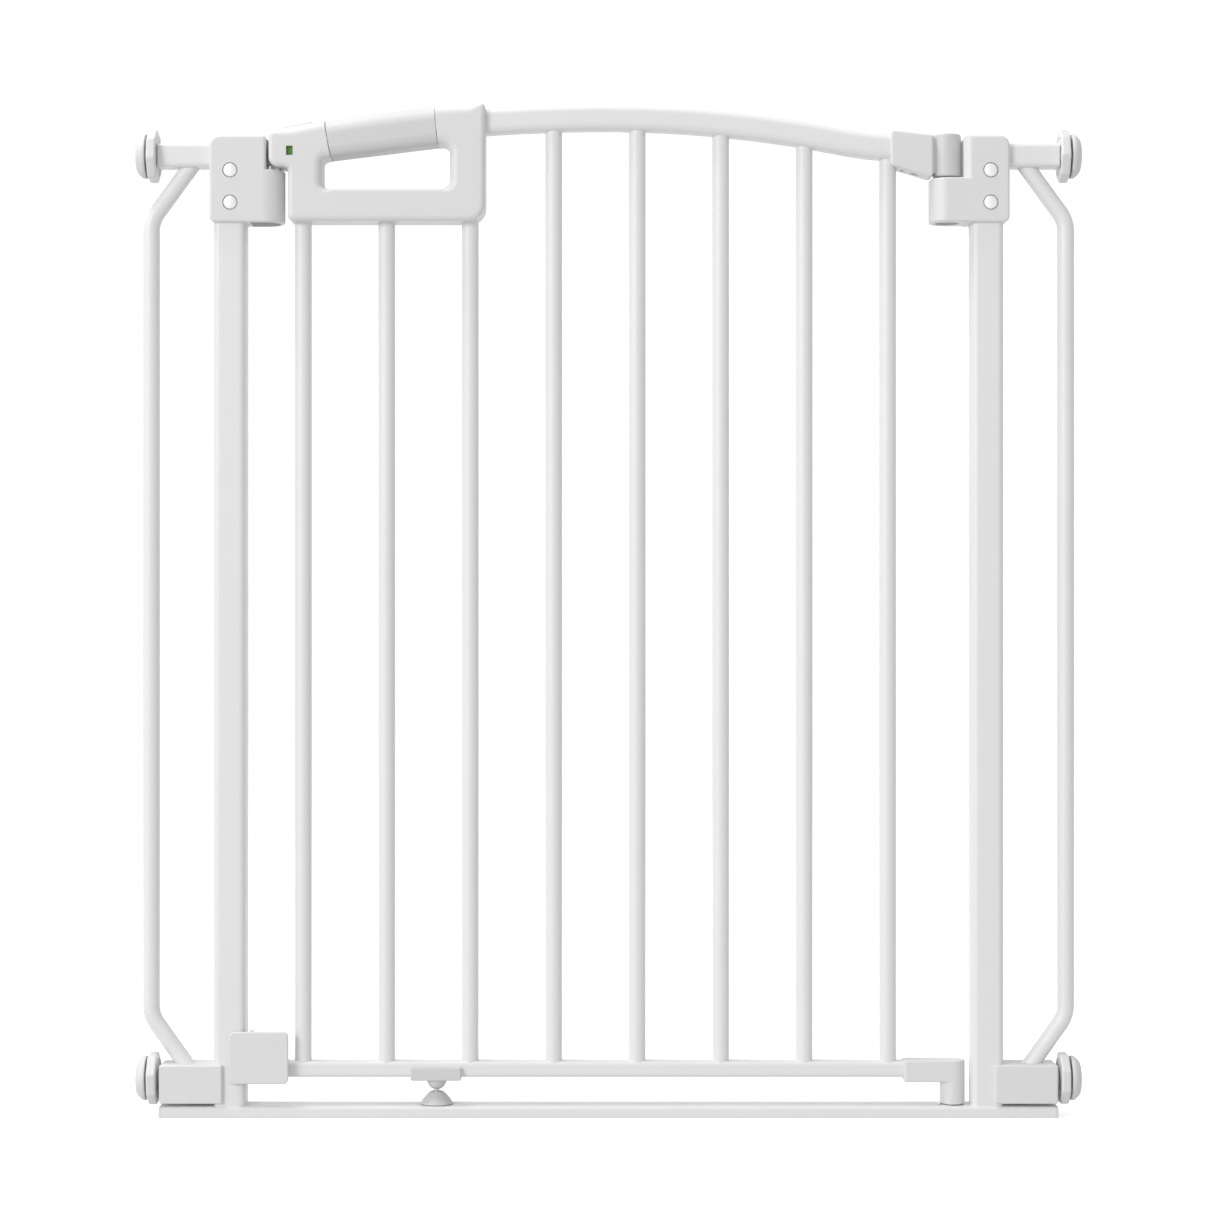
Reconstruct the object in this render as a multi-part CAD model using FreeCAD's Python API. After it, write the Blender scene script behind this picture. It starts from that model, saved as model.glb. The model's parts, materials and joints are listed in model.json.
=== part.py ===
import FreeCAD, Part
import os
import math

V = FreeCAD.Vector
os.makedirs("parts", exist_ok=True)

# ---------------------------------------------------------------------------
# Pressure-fit pet gate.  Millimetres, +Z up, origin at the bottom centre of
# the base rail, +X to the right, the front of the gate faces -Y.
# ---------------------------------------------------------------------------

# base rail
BASE_HALF = 335.5        # half length with its end plugs
BASE_PLUG = 2.0          # end plug flange thickness
BASE_D = 14.0            # half depth
BASE_H = 8.5             # height
TUBE_WALL = 1.2

# posts
POST_X = 283.0           # post centre line, both sides
POST_W = 24.0
POST_D = 25.0
POST_R = 5.0
POST_TOP = 728.0

# upper arms
ARM_Z = 719.0            # arm and upper spindle axis
ARM_H = 18.0
ARM_D = 20.0
ARM_R = 3.5
ARM_END = 337.0

# lower sockets and corner covers
SOCK_Z = 28.0            # lower spindle axis
SOCK_R = 8.0
SOCK_END = 337.0
COVER_IN, COVER_OUT = 288.0, 335.0
COVER_Z0, COVER_Z1 = 10.9, 39.6
COVER_D = 16.0

# side rods
ROD_R = 6.35
ROD_WALL = 1.0
ROD_X = 342.8
ROD_Z_LO, ROD_Z_HI = 74.9, 670.7
ROD_TOP_X, ROD_BOT_X = 314.0, 315.0
ROD_BEND = 24.0

# spindles, wheels and wall pads
SPIN_R = 4.0
SPIN_FLAT = 3.3
SPIN_IN, SPIN_OUT = 297.0, 350.5
RUN = 0.08               # running clearance on the spindle
WHEEL_R = 20.0           # to the corners of the octagon
WHEEL_0, WHEEL_1 = 337.5, 344.5
PAD_0, PAD_1 = 346.0, 353.5
PAD_R = 16.7

# housings on the posts
HSG_D = 16.0
HSG_Z0 = 668.0
HSG_Z1 = 732.8
LATCH_X0, LATCH_X1 = -297.5, -255.5
LEDGE_TOP = 707.5
LEDGE_NOSE = -242.4
HINGE_X0, HINGE_X1 = 265.3, 299.0
HINGE_X = 253.5          # hinge axis, Y = 0
BOSS_R = 13.2
BOSS_Z0, BOSS_Z1 = 668.5, 701.4
HEAD_R = 5.1
RIVET_R = 2.5
RIVET_Z = (706.7, 682.7)
RIVET_XL, RIVET_XR = -282.0, 284.8

# leaf
BAR_R = 6.35
BAR_WALL = 1.0
BAR_X0 = -228.9
BAR_PITCH = 62.6
BAR_N = 8
RAIL_Z0, RAIL_Z1 = 29.3, 41.3
RAIL_D = 7.0
RAIL_X0, RAIL_X1 = -262.0, 240.0
ARCH_TOP = 757.05
ARCH_PEAK = -3.0
ARCH_RL = 1250.0         # arch radius left of the peak
ARCH_RR = 900.0          # arch radius right of the peak
ARCH_H = 19.2
ARCH_D = 10.0
ARCH_X0 = -219.0
ARCH_XT = 172.0          # start of the flattening curve
ARCH_R2 = 264.0
ARCH_X1 = 236.0

# handle
HND_D = 16.5
HND_WALL = 2.5
LIFT = 12.0              # lift that frees the leaf
THUMB = 8.0              # thumb slider travel along the slope
SLOPE = math.atan2(5.5, 28.0)


# ---------------------------------------------------------------------------
# helpers
# ---------------------------------------------------------------------------
def box(x0, x1, y0, y1, z0, z1):
    return Part.makeBox(x1 - x0, y1 - y0, z1 - z0, V(x0, y0, z0))


def cyl(r, p, d, length):
    return Part.makeCylinder(r, length, V(*p), V(*d))


def rwire(pts):
    """Closed wire through (a, b, r) corners in a plane; r rounds the corner."""
    n = len(pts)
    seg = []
    for i in range(n):
        ax, ay, _ = pts[i - 1]
        bx, by, r = pts[i]
        cx, cy, _ = pts[(i + 1) % n]
        if r <= 0:
            seg.append(((bx, by), None, (bx, by)))
            continue
        ux, uy = ax - bx, ay - by
        vx, vy = cx - bx, cy - by
        lu, lv = math.hypot(ux, uy), math.hypot(vx, vy)
        ux, uy, vx, vy = ux / lu, uy / lu, vx / lv, vy / lv
        ang = math.acos(max(-1.0, min(1.0, ux * vx + uy * vy)))
        t = r / math.tan(ang / 2.0)
        p0 = (bx + ux * t, by + uy * t)
        p1 = (bx + vx * t, by + vy * t)
        mx, my = ux + vx, uy + vy
        lm = math.hypot(mx, my)
        c = (bx + mx / lm * r / math.sin(ang / 2.0), by + my / lm * r / math.sin(ang / 2.0))
        m = (c[0] - mx / lm * r, c[1] - my / lm * r)
        seg.append((p0, m, p1))
    return seg


def prism(pts, lo, hi, plane="xz"):
    """Extrude a rounded polygon.  xz runs along Y, yz along X, xy along Z."""
    seg = rwire(pts)

    def P(q):
        if plane == "xz":
            return V(q[0], lo, q[1])
        if plane == "yz":
            return V(lo, q[0], q[1])
        return V(q[0], q[1], lo)
    edges = []
    n = len(seg)
    for i in range(n):
        p0, m, p1 = seg[i]
        if m is not None:
            edges.append(Part.Arc(P(p0), P(m), P(p1)).toShape())
        q = seg[(i + 1) % n][0]
        if math.hypot(q[0] - p1[0], q[1] - p1[1]) > 1e-6:
            edges.append(Part.LineSegment(P(p1), P(q)).toShape())
    face = Part.Face(Part.Wire(edges))
    d = {"xz": V(0, hi - lo, 0), "yz": V(hi - lo, 0, 0), "xy": V(0, 0, hi - lo)}[plane]
    return face.extrude(d)


def rrect(a0, a1, b0, b1, r):
    return [(a0, b0, r), (a1, b0, r), (a1, b1, r), (a0, b1, r)]


def fillet_where(shape, r, test):
    edges = [e for e in shape.Edges if test(e)]
    if not edges:
        return shape
    for k in (1.0, 0.8, 0.6, 0.4, 0.25):
        try:
            out = shape.makeFillet(r * k, edges)
            if out.isValid() and out.Volume > 0:
                if k < 1.0:
                    print("fillet reduced to", round(r * k, 2))
                return out
        except Exception:
            pass
    print("fillet skipped", r)
    return shape


def on_y(e, y, tol=1e-4):
    b = e.BoundBox
    return abs(b.YMin - y) < tol and abs(b.YMax - y) < tol


def on_z(e, z, tol=1e-4):
    b = e.BoundBox
    return abs(b.ZMin - z) < tol and abs(b.ZMax - z) < tol


def solid(shape):
    s = shape.removeSplitter()
    if len(s.Solids) == 1:
        return s.Solids[0]
    return s


def compound(shapes):
    out = []
    for s in shapes:
        out.extend(s.Solids)
    return Part.makeCompound(out)


def mirror_x(shape):
    return shape.mirror(V(0, 0, 0), V(1, 0, 0))


NODES = {}


def put(name, shape):
    s = shape if isinstance(shape, Part.Compound) else solid(shape)
    for k in s.Solids:
        if not k.isValid():
            print("INVALID", name)
    print("%-26s solids %d  volume %.1f cm3" % (name, len(s.Solids), s.Volume / 1000.0))
    NODES[name] = s


# ---------------------------------------------------------------------------
# frame: base rail, posts, arms, sockets
# ---------------------------------------------------------------------------
base_out = [(-BASE_D, 0, 1.0), (BASE_D, 0, 1.0), (BASE_D, BASE_H, 2.2), (-BASE_D, BASE_H, 2.2)]
base_in = [(-BASE_D + 1.2, 1.2, 0.5), (BASE_D - 1.2, 1.2, 0.5),
           (BASE_D - 1.2, BASE_H - 1.2, 1.0), (-BASE_D + 1.2, BASE_H - 1.2, 1.0)]
bx = BASE_HALF - BASE_PLUG
base = prism(base_out, -bx, bx, "yz").cut(prism(base_in, -bx - 1, bx + 1, "yz"))
base = base.cut(cyl(3.0, (HINGE_X, 0, BASE_H - 3), (0, 0, 1), 6))
put("base_rail", base)

plug = prism(base_out, bx, BASE_HALF, "yz").fuse(prism(base_in, bx - 14, bx, "yz"))
plug = plug.cut(prism([(-BASE_D + 2.6, 2.4, 0.4), (BASE_D - 2.6, 2.4, 0.4),
                       (BASE_D - 2.6, BASE_H - 2.4, 0.4), (-BASE_D + 2.6, BASE_H - 2.4, 0.4)],
                      bx - 15, bx - 1, "yz"))
plug = fillet_where(plug, 0.6, lambda e: abs(e.BoundBox.XMin - BASE_HALF) < 1e-4)
plug = solid(plug)
put("base_rail_end_plugs", compound([plug, mirror_x(plug)]))


def post(cx, rivet_x):
    o = prism(rrect(cx - POST_W / 2, cx + POST_W / 2, -POST_D / 2, POST_D / 2, POST_R), BASE_H, POST_TOP, "xy")
    w = TUBE_WALL
    i = prism(rrect(cx - POST_W / 2 + w, cx + POST_W / 2 - w, -POST_D / 2 + w, POST_D / 2 - w, POST_R - w),
              BASE_H - 1, POST_TOP + 1, "xy")
    s = o.cut(i)
    for z in RIVET_Z:
        s = s.cut(cyl(RIVET_R, (rivet_x, -20, z), (0, 1, 0), 40))
    return s


put("left_post", post(-POST_X, RIVET_XL))
put("right_post", post(POST_X, RIVET_XR))

post_face = POST_X + POST_W / 2
arm_out = prism(rrect(-ARM_D / 2, ARM_D / 2, ARM_Z - ARM_H / 2, ARM_Z + ARM_H / 2, ARM_R), post_face, ARM_END, "yz")
arm_in_pts = rrect(-ARM_D / 2 + 1.2, ARM_D / 2 - 1.2, ARM_Z - ARM_H / 2 + 1.2, ARM_Z + ARM_H / 2 - 1.2, ARM_R - 1.2)
arm = arm_out.cut(prism(arm_in_pts, post_face - 1, ARM_END + 1, "yz"))
put("upper_right_arm", arm)
put("upper_left_arm", mirror_x(solid(arm)))

sock = cyl(SOCK_R, (post_face, 0, SOCK_Z), (1, 0, 0), SOCK_END - post_face)
sock = sock.cut(cyl(SOCK_R - 1.2, (post_face - 1, 0, SOCK_Z), (1, 0, 0), SOCK_END - post_face + 2))
put("right_lower_socket", sock)
put("left_lower_socket", mirror_x(solid(sock)))


# side rods: one bent round tube each side
def rod_path(extra_top, extra_bot):
    corner_pts = [(ROD_TOP_X, 710.0), (ROD_X, ROD_Z_HI), (ROD_X, ROD_Z_LO), (ROD_BOT_X, 36.0)]
    (x0, z0), (x1, z1), (x2, z2), (x3, z3) = corner_pts
    l = math.hypot(x0 - x1, z0 - z1)
    x0, z0 = x0 + (x0 - x1) / l * extra_top, z0 + (z0 - z1) / l * extra_top
    l = math.hypot(x3 - x2, z3 - z2)
    x3, z3 = x3 + (x3 - x2) / l * extra_bot, z3 + (z3 - z2) / l * extra_bot

    def corner(a, b, c, r):
        ux, uz = a[0] - b[0], a[1] - b[1]
        vx, vz = c[0] - b[0], c[1] - b[1]
        lu, lv = math.hypot(ux, uz), math.hypot(vx, vz)
        ux, uz, vx, vz = ux / lu, uz / lu, vx / lv, vz / lv
        ang = math.acos(ux * vx + uz * vz)
        t = r / math.tan(ang / 2)
        mx, mz = ux + vx, uz + vz
        lm = math.hypot(mx, mz)
        cx, cz = b[0] + mx / lm * r / math.sin(ang / 2), b[1] + mz / lm * r / math.sin(ang / 2)
        return ((b[0] + ux * t, b[1] + uz * t), (cx - mx / lm * r, cz - mz / lm * r), (b[0] + vx * t, b[1] + vz * t))
    a = corner((x0, z0), (x1, z1), (x2, z2), ROD_BEND)
    b = corner((x1, z1), (x2, z2), (x3, z3), ROD_BEND)
    q = lambda p: V(p[0], 0, p[1])
    e = [Part.LineSegment(V(x0, 0, z0), q(a[0])).toShape(),
         Part.Arc(q(a[0]), q(a[1]), q(a[2])).toShape(),
         Part.LineSegment(q(a[2]), q(b[0])).toShape(),
         Part.Arc(q(b[0]), q(b[1]), q(b[2])).toShape(),
         Part.LineSegment(q(b[2]), V(x3, 0, z3)).toShape()]
    d = q(a[0]) - V(x0, 0, z0)
    return Part.Wire(e), V(x0, 0, z0), d


def rod_sweep(r, et, eb):
    path, p, d = rod_path(et, eb)
    prof = Part.Wire([Part.Circle(p, d, r).toShape()])
    return path.makePipeShell([prof], True, True)


rod_o = rod_sweep(ROD_R, 8, 8)
rod_i = rod_sweep(ROD_R - ROD_WALL, 10, 10)
rod = rod_o.cut(rod_i)
rod = rod.cut(box(290, 345, -12, 12, ARM_Z - ARM_H / 2, 730))
rod = rod.cut(cyl(SOCK_R, (290, 0, SOCK_Z), (1, 0, 0), 60)).cut(box(290, 345, -12, 12, 10, SOCK_Z + 2))
rod = max(rod.Solids, key=lambda s: s.Volume)
put("right_side_rod", rod)
put("left_side_rod", mirror_x(rod))

# corner covers
cov = box(COVER_IN, COVER_OUT, -COVER_D, COVER_D, COVER_Z0, COVER_Z1)
cov = cov.makeFillet(2.0, cov.Edges)
cov = cov.cut(box(COVER_IN - 1, COVER_OUT - 2.5, -COVER_D + 2.5, COVER_D - 2.5, COVER_Z0 + 2.5, COVER_Z1 - 2.5))
cov = cov.cut(prism(rrect(POST_X - POST_W / 2 - 8, POST_X + POST_W / 2 + 0.2, -POST_D / 2 - 0.2, POST_D / 2 + 0.2, POST_R),
                    COVER_Z0 - 1, COVER_Z1 + 1, "xy"))
cov = cov.cut(cyl(SOCK_R + 0.1, (COVER_OUT - 6, 0, SOCK_Z), (1, 0, 0), 10))
cov = cov.cut(rod_sweep(ROD_R + 0.15, 8, 8))
cov = max(cov.Solids, key=lambda s: s.Volume)
put("right_corner_cover", cov)
put("left_corner_cover", mirror_x(cov))


# spindle guides pressed into the arm and socket ends
def d_rod(z, r, flat, x0, x1):
    s = cyl(r, (x0, 0, z), (1, 0, 0), x1 - x0)
    return s.cut(box(x0 - 1, x1 + 1, -r - 1, r + 1, z - r - 1, z - flat))


gu = prism(arm_in_pts, 318, ARM_END - 0.1, "yz").cut(d_rod(ARM_Z, SPIN_R + RUN, SPIN_FLAT + RUN, 316, 340))
gl = cyl(SOCK_R - 1.2, (318, 0, SOCK_Z), (1, 0, 0), SOCK_END - 0.1 - 318)
gl = gl.cut(d_rod(SOCK_Z, SPIN_R + RUN, SPIN_FLAT + RUN, 316, 340))
gu, gl = solid(gu), solid(gl)
put("spindle_guides", compound([gu, mirror_x(gu), gl, mirror_x(gl)]))


# ---------------------------------------------------------------------------
# wheels, spindles and wall pads
# ---------------------------------------------------------------------------
def wheel(z, turn):
    pts = []
    for i in range(8):
        a = math.radians(turn + 45.0 * i)
        pts.append((WHEEL_R * math.cos(a), z + WHEEL_R * math.sin(a), 2.5))
    s = prism(pts, WHEEL_0, WHEEL_1, "yz")
    s = fillet_where(s, 1.2, lambda e: abs(e.BoundBox.XMin - e.BoundBox.XMax) < 1e-4)
    s = s.cut(cyl(SPIN_R + RUN, (WHEEL_0 - 1, 0, z), (1, 0, 0), 20))
    # dished outer face with a raised hub
    dish = cyl(14.5, (WHEEL_1 - 1.6, 0, z), (1, 0, 0), 4).cut(cyl(7.0, (WHEEL_1 - 3, 0, z), (1, 0, 0), 6))
    return solid(s.cut(dish))


def pad(z):
    pts = [(PAD_0, 0, 0), (PAD_0, PAD_R, 0.8), (PAD_0 + 2.6, PAD_R, 0.6), (PAD_0 + 4.4, PAD_R - 2.2, 1.5),
           (PAD_1, PAD_R - 4.6, 1.2), (PAD_1, 0, 0)]
    seg = rwire([(x, r, f) for x, r, f in pts])
    edges = []
    n = len(seg)
    for i in range(n):
        p0, m, p1 = seg[i]
        P = lambda q: V(q[0], 0, z + q[1])
        if m is not None:
            edges.append(Part.Arc(P(p0), P(m), P(p1)).toShape())
        q = seg[(i + 1) % n][0]
        if math.hypot(q[0] - p1[0], q[1] - p1[1]) > 1e-6:
            edges.append(Part.LineSegment(P(p1), P(q)).toShape())
    f = Part.Face(Part.Wire(edges))
    s = f.revolve(V(PAD_0, 0, z), V(1, 0, 0), 360)
    return solid(s.cut(cyl(SPIN_R, (PAD_0 - 1, 0, z), (1, 0, 0), SPIN_OUT - PAD_0 + 1)))


def spindle_flat(z):
    s = d_rod(z, SPIN_R, SPIN_FLAT, SPIN_IN, SPIN_OUT)
    return solid(s)


TURN = {"upper_left": 11.0, "lower_left": 31.0, "upper_right": 4.0, "lower_right": 22.5}
for corner, z in (("upper_left", ARM_Z), ("lower_left", SOCK_Z), ("upper_right", ARM_Z), ("lower_right", SOCK_Z)):
    w, p, s = wheel(z, TURN[corner]), pad(z), spindle_flat(z)
    if "left" in corner:
        w, p, s = mirror_x(w), mirror_x(p), mirror_x(s)
    put(corner + "_wheel", w)
    put(corner + "_pad", p)
    put(corner + "_spindle", s)


# ---------------------------------------------------------------------------
# latch housing on the left post: two shells
# ---------------------------------------------------------------------------
def edge_round(s, d, r):
    return fillet_where(s, r, lambda e: on_y(e, d) or on_y(e, -d))


up = prism([(LATCH_X0, HSG_Z0, 4.5), (LATCH_X1, HSG_Z0, 2.0), (LATCH_X1, HSG_Z1, 2.5), (LATCH_X0, HSG_Z1, 7.5)],
           -HSG_D, HSG_D)
up = edge_round(up, HSG_D, 1.5)
nose_c = LEDGE_NOSE - HSG_D
boss = cyl(HSG_D, (nose_c, 0, HSG_Z0), (0, 0, 1), LEDGE_TOP - HSG_Z0)
boss = boss.fuse(box(-276.0, nose_c, -HSG_D, HSG_D, HSG_Z0, LEDGE_TOP)).removeSplitter()
boss = fillet_where(boss, 1.5, lambda e: (on_z(e, HSG_Z0) or on_z(e, LEDGE_TOP)) and e.BoundBox.XMax > -275)
latch = up.fuse(boss)
latch = latch.cut(box(-POST_X - POST_W / 2 - 0.2, -POST_X + POST_W / 2 + 0.2, -POST_D / 2 - 0.2, POST_D / 2 + 0.2,
                      HSG_Z0 - 1, POST_TOP + 0.2))
latch = latch.cut(mirror_x(prism(rrect(-ARM_D / 2 - 0.1, ARM_D / 2 + 0.1, ARM_Z - ARM_H / 2 - 0.1, ARM_Z + ARM_H / 2 + 0.1, ARM_R),
                                 post_face - 0.5, ARM_END, "yz")))
hollow = cyl(HSG_D - 3.0, (nose_c, 0, HSG_Z0 - 1), (0, 0, 1), 37.5).fuse(
    box(-267.7, nose_c, -HSG_D + 3.0, HSG_D - 3.0, HSG_Z0 - 1, HSG_Z0 + 36.5))
latch = latch.cut(hollow)
latch = latch.cut(box(-253.9, -245.3, -5.8, 5.8, 700, 710))          # pocket for the leaf's tongue
latch = latch.cut(box(-265.0, LATCH_X1 + 1, -4.6, 4.6, 711.8, 730.9))  # bolt slot, tall enough to lift in
for z in RIVET_Z:
    latch = latch.cut(cyl(RIVET_R, (RIVET_XL, -20, z), (0, 1, 0), 40))
    latch = latch.cut(cyl(HEAD_R + 0.6, (RIVET_XL, -HSG_D - 1, z), (0, 1, 0), 1.7))
    latch = latch.cut(cyl(HEAD_R + 0.6, (RIVET_XL, HSG_D - 0.7, z), (0, 1, 0), 1.7))
front_half = box(-400, 400, -40, 0, 0, 800)
rear_half = box(-400, 400, 0, 40, 0, 800)
put("latch_housing_front", latch.common(front_half))
put("latch_housing_rear", latch.common(rear_half))

# ---------------------------------------------------------------------------
# hinge housing on the right post: two shells round the turning bush
# ---------------------------------------------------------------------------
up = prism([(HINGE_X0, HSG_Z0, 2.0), (HINGE_X1, HSG_Z0, 4.5), (HINGE_X1, HSG_Z1, 7.5), (HINGE_X0, HSG_Z1, 2.5)],
           -HSG_D, HSG_D)
up = edge_round(up, HSG_D, 1.5)
up = up.common(prism([(HINGE_X0, -HSG_D, 6.0), (HINGE_X1, -HSG_D, 0), (HINGE_X1, HSG_D, 0), (HINGE_X0, HSG_D, 6.0)],
                     HSG_Z0 - 1, HSG_Z1 + 1, "xy"))
hb = prism([(HINGE_X - BOSS_R, -HSG_D, BOSS_R), (276.0, -HSG_D, 0), (276.0, HSG_D, 0), (HINGE_X - BOSS_R, HSG_D, BOSS_R)],
           BOSS_Z0, BOSS_Z1, "xy")
hb = fillet_where(hb, 1.2, lambda e: (on_z(e, BOSS_Z0) or on_z(e, BOSS_Z1)) and e.BoundBox.XMin < 262)
hinge = up.fuse(hb)
hinge = hinge.cut(box(POST_X - POST_W / 2 - 0.2, POST_X + POST_W / 2 + 0.2, -POST_D / 2 - 0.2, POST_D / 2 + 0.2,
                      HSG_Z0 - 1, POST_TOP + 0.2))
hinge = hinge.cut(prism(rrect(-ARM_D / 2 - 0.1, ARM_D / 2 + 0.1, ARM_Z - ARM_H / 2 - 0.1, ARM_Z + ARM_H / 2 + 0.1, ARM_R),
                        post_face - 0.5, ARM_END, "yz"))
BUSH_R, BUSH_NECK, BUSH_Z = 9.2, 7.35, 697.0
hinge = hinge.cut(cyl(BUSH_R + 0.06, (HINGE_X, 0, BOSS_Z0 - 1), (0, 0, 1), BUSH_Z + 0.3 - BOSS_Z0 + 1))
hinge = hinge.cut(cyl(BUSH_NECK + 0.06, (HINGE_X, 0, BOSS_Z0 - 1), (0, 0, 1), 40))
for z in RIVET_Z:
    hinge = hinge.cut(cyl(RIVET_R, (RIVET_XR, -20, z), (0, 1, 0), 40))
    hinge = hinge.cut(cyl(HEAD_R + 0.6, (RIVET_XR, -HSG_D - 1, z), (0, 1, 0), 1.7))
    hinge = hinge.cut(cyl(HEAD_R + 0.6, (RIVET_XR, HSG_D - 0.7, z), (0, 1, 0), 1.7))
put("hinge_housing_front", hinge.common(front_half))
put("hinge_housing_rear", hinge.common(rear_half))

PIN_HALF = 4.5
bush = cyl(BUSH_R, (HINGE_X, 0, 678.0), (0, 0, 1), BUSH_Z - 678.0)
bush = bush.fuse(cyl(BUSH_NECK, (HINGE_X, 0, 670.0), (0, 0, 1), 701.2 - 670.0))
q = PIN_HALF + 0.06
bush = bush.cut(box(HINGE_X - q, HINGE_X + q, -q, q, 660, 710))
put("hinge_bush", bush)


def rivet(x, z):
    s = cyl(RIVET_R, (x, -HSG_D + 0.7, z), (0, 1, 0), 2 * HSG_D - 1.4)
    for sy in (-1, 1):
        y0 = sy * (HSG_D - 0.7)
        h = 1.9
        rs = (HEAD_R ** 2 + h ** 2) / (2 * h)
        cap = Part.makeSphere(rs, V(x, y0 - sy * (rs - h), z))
        cap = cap.common(cyl(HEAD_R, (x, y0, z), (0, sy, 0), h + 0.01))
        s = s.fuse(cap)
    return solid(s)


put("housing_rivets", compound([rivet(x, z) for x in (RIVET_XL, RIVET_XR) for z in RIVET_Z]))

# lower pivot pin riveted through the base rail's top wall
pin = cyl(3.0, (HINGE_X, 0, BASE_H - 1.2), (0, 0, 1), 30.0 - BASE_H + 1.2)
pin = fillet_where(pin, 1.2, lambda e: on_z(e, 30.0))
pin = pin.fuse(cyl(7.5, (HINGE_X, 0, BASE_H), (0, 0, 1), 0.4)).fuse(cyl(4.6, (HINGE_X, 0, BASE_H - 2.4), (0, 0, 1), 1.2))
put("lower_pivot_pin", pin)

# ---------------------------------------------------------------------------
# leaf: rails and bars
# ---------------------------------------------------------------------------
rail_o = prism(rrect(-RAIL_D, RAIL_D, RAIL_Z0, RAIL_Z1, 3.0), RAIL_X0, RAIL_X1, "yz")
rail_i = prism(rrect(-RAIL_D + 1.2, RAIL_D - 1.2, RAIL_Z0 + 1.2, RAIL_Z1 - 1.2, 1.8), RAIL_X0 - 1, RAIL_X1 + 1, "yz")
put("bottom_rail", rail_o.cut(rail_i))


def arch_face(top_off, bot_off, x0, x1):
    """Side view of the top rail between two offset curves."""
    def top(x):
        if x <= ARCH_PEAK:
            return ARCH_TOP - ARCH_RL + math.sqrt(ARCH_RL ** 2 - (x - ARCH_PEAK) ** 2)
        if x <= ARCH_XT:
            return ARCH_TOP - ARCH_RR + math.sqrt(ARCH_RR ** 2 - (x - ARCH_PEAK) ** 2)
        s0 = math.asin((ARCH_XT - ARCH_PEAK) / ARCH_RR)
        z0 = ARCH_TOP - ARCH_RR + ARCH_RR * math.cos(s0)
        # reverse curve: slope falls from s0 towards level
        cx, cz = ARCH_XT + ARCH_R2 * math.sin(s0), z0 + ARCH_R2 * math.cos(s0)
        xe = cx - ARCH_R2 * math.sin(0.05)
        if x <= xe:
            return cz - math.sqrt(ARCH_R2 ** 2 - (cx - x) ** 2)
        ze = cz - ARCH_R2 * math.cos(0.05)
        return ze - (x - xe) * math.tan(0.05)
    s0 = math.asin((ARCH_XT - ARCH_PEAK) / ARCH_RR)
    cx = ARCH_XT + ARCH_R2 * math.sin(s0)
    xe = cx - ARCH_R2 * math.sin(0.05)
    knots = [x0, ARCH_PEAK, ARCH_XT, xe, x1]

    def chain(off):
        e = []
        for a, b in zip(knots[:-1], knots[1:]):
            if b == x1:
                e.append(Part.LineSegment(V(a, 0, top(a) + off), V(b, 0, top(b) + off)).toShape())
            else:
                m = (a + b) / 2
                e.append(Part.Arc(V(a, 0, top(a) + off), V(m, 0, top(m) + off), V(b, 0, top(b) + off)).toShape())
        return e
    up_e, lo_e = chain(top_off), chain(bot_off)
    left = Part.LineSegment(V(x0, 0, top(x0) + bot_off), V(x0, 0, top(x0) + top_off)).toShape()
    right = Part.LineSegment(V(x1, 0, top(x1) + top_off), V(x1, 0, top(x1) + bot_off)).toShape()
    return Part.Face(Part.Wire(Part.__sortEdges__(up_e + lo_e + [left, right]))), top


def arch_solid(top_off, bot_off, half, x0, x1, r):
    f, _ = arch_face(top_off, bot_off, x0, x1)
    f.translate(V(0, -half, 0))
    s = f.extrude(V(0, 2 * half, 0))
    return fillet_where(s, r, lambda e: (on_y(e, half) or on_y(e, -half)) and e.BoundBox.XLength > 2.0)


arch_o = arch_solid(0, -ARCH_H, ARCH_D, ARCH_X0, ARCH_X1, 5.5)
arch_i = arch_solid(-1.2, -ARCH_H + 1.2, ARCH_D - 1.2, ARCH_X0 - 1, ARCH_X1 + 1, 4.3)
_, arch_top = arch_face(0, -ARCH_H, ARCH_X0, ARCH_X1)
SCREW_X = (219.4, 229.6)
arch = arch_o.cut(arch_i)
for x in SCREW_X:
    arch = arch.cut(cyl(1.9, (x, 0, 700), (0, 0, 1), 20.5))
put("arch_rail", arch)

for i in range(BAR_N):
    x = BAR_X0 + BAR_PITCH * i
    top = 686.0 if i < 3 else arch_top(x) - 8.0
    s = cyl(BAR_R, (x, 0, RAIL_Z1), (0, 0, 1), top - RAIL_Z1)
    s = s.cut(cyl(BAR_R - BAR_WALL, (x, 0, RAIL_Z1 - 1), (0, 0, 1), top - RAIL_Z1 + 2))
    if i >= 3:
        s = s.cut(arch_o)
        s = max(s.Solids, key=lambda k: k.Volume)
    put("bar_%d" % (i + 1), s)

# ---------------------------------------------------------------------------
# handle: two shells, grip sleeve, latch parts
# ---------------------------------------------------------------------------
outline = [(-239.2, 669.0, 4.0), (-92.0, 669.0, 12.5), (-92.0, 757.0, 2.5), (-127.0, 755.5, 120.0),
           (-156.0, 752.6, 120.0), (-184.0, 748.8, 120.0), (-212.0, 744.5, 120.0), (-240.0, 739.0, 60.0),
           (-253.6, 735.2, 3.0), (-253.6, 709.5, 7.0), (-239.2, 709.5, 2.0)]
block = prism(outline, -HND_D, HND_D)
block = edge_round(block, HND_D, 4.0)
seam_l = ((-212.3, 745.5), (-207.0, 716.5))
seam_r = ((-130.3, 756.5), (-127.5, 726.2))
opening = [(-213.7, 692.5, 6.5), (-118.6, 692.5, 8.0), (-118.6, 727.2, 6.0), (-213.7, 715.6, 4.0)]
hand = prism(opening, -HND_D - 1, HND_D + 1)
block2 = block.cut(hand)
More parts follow.
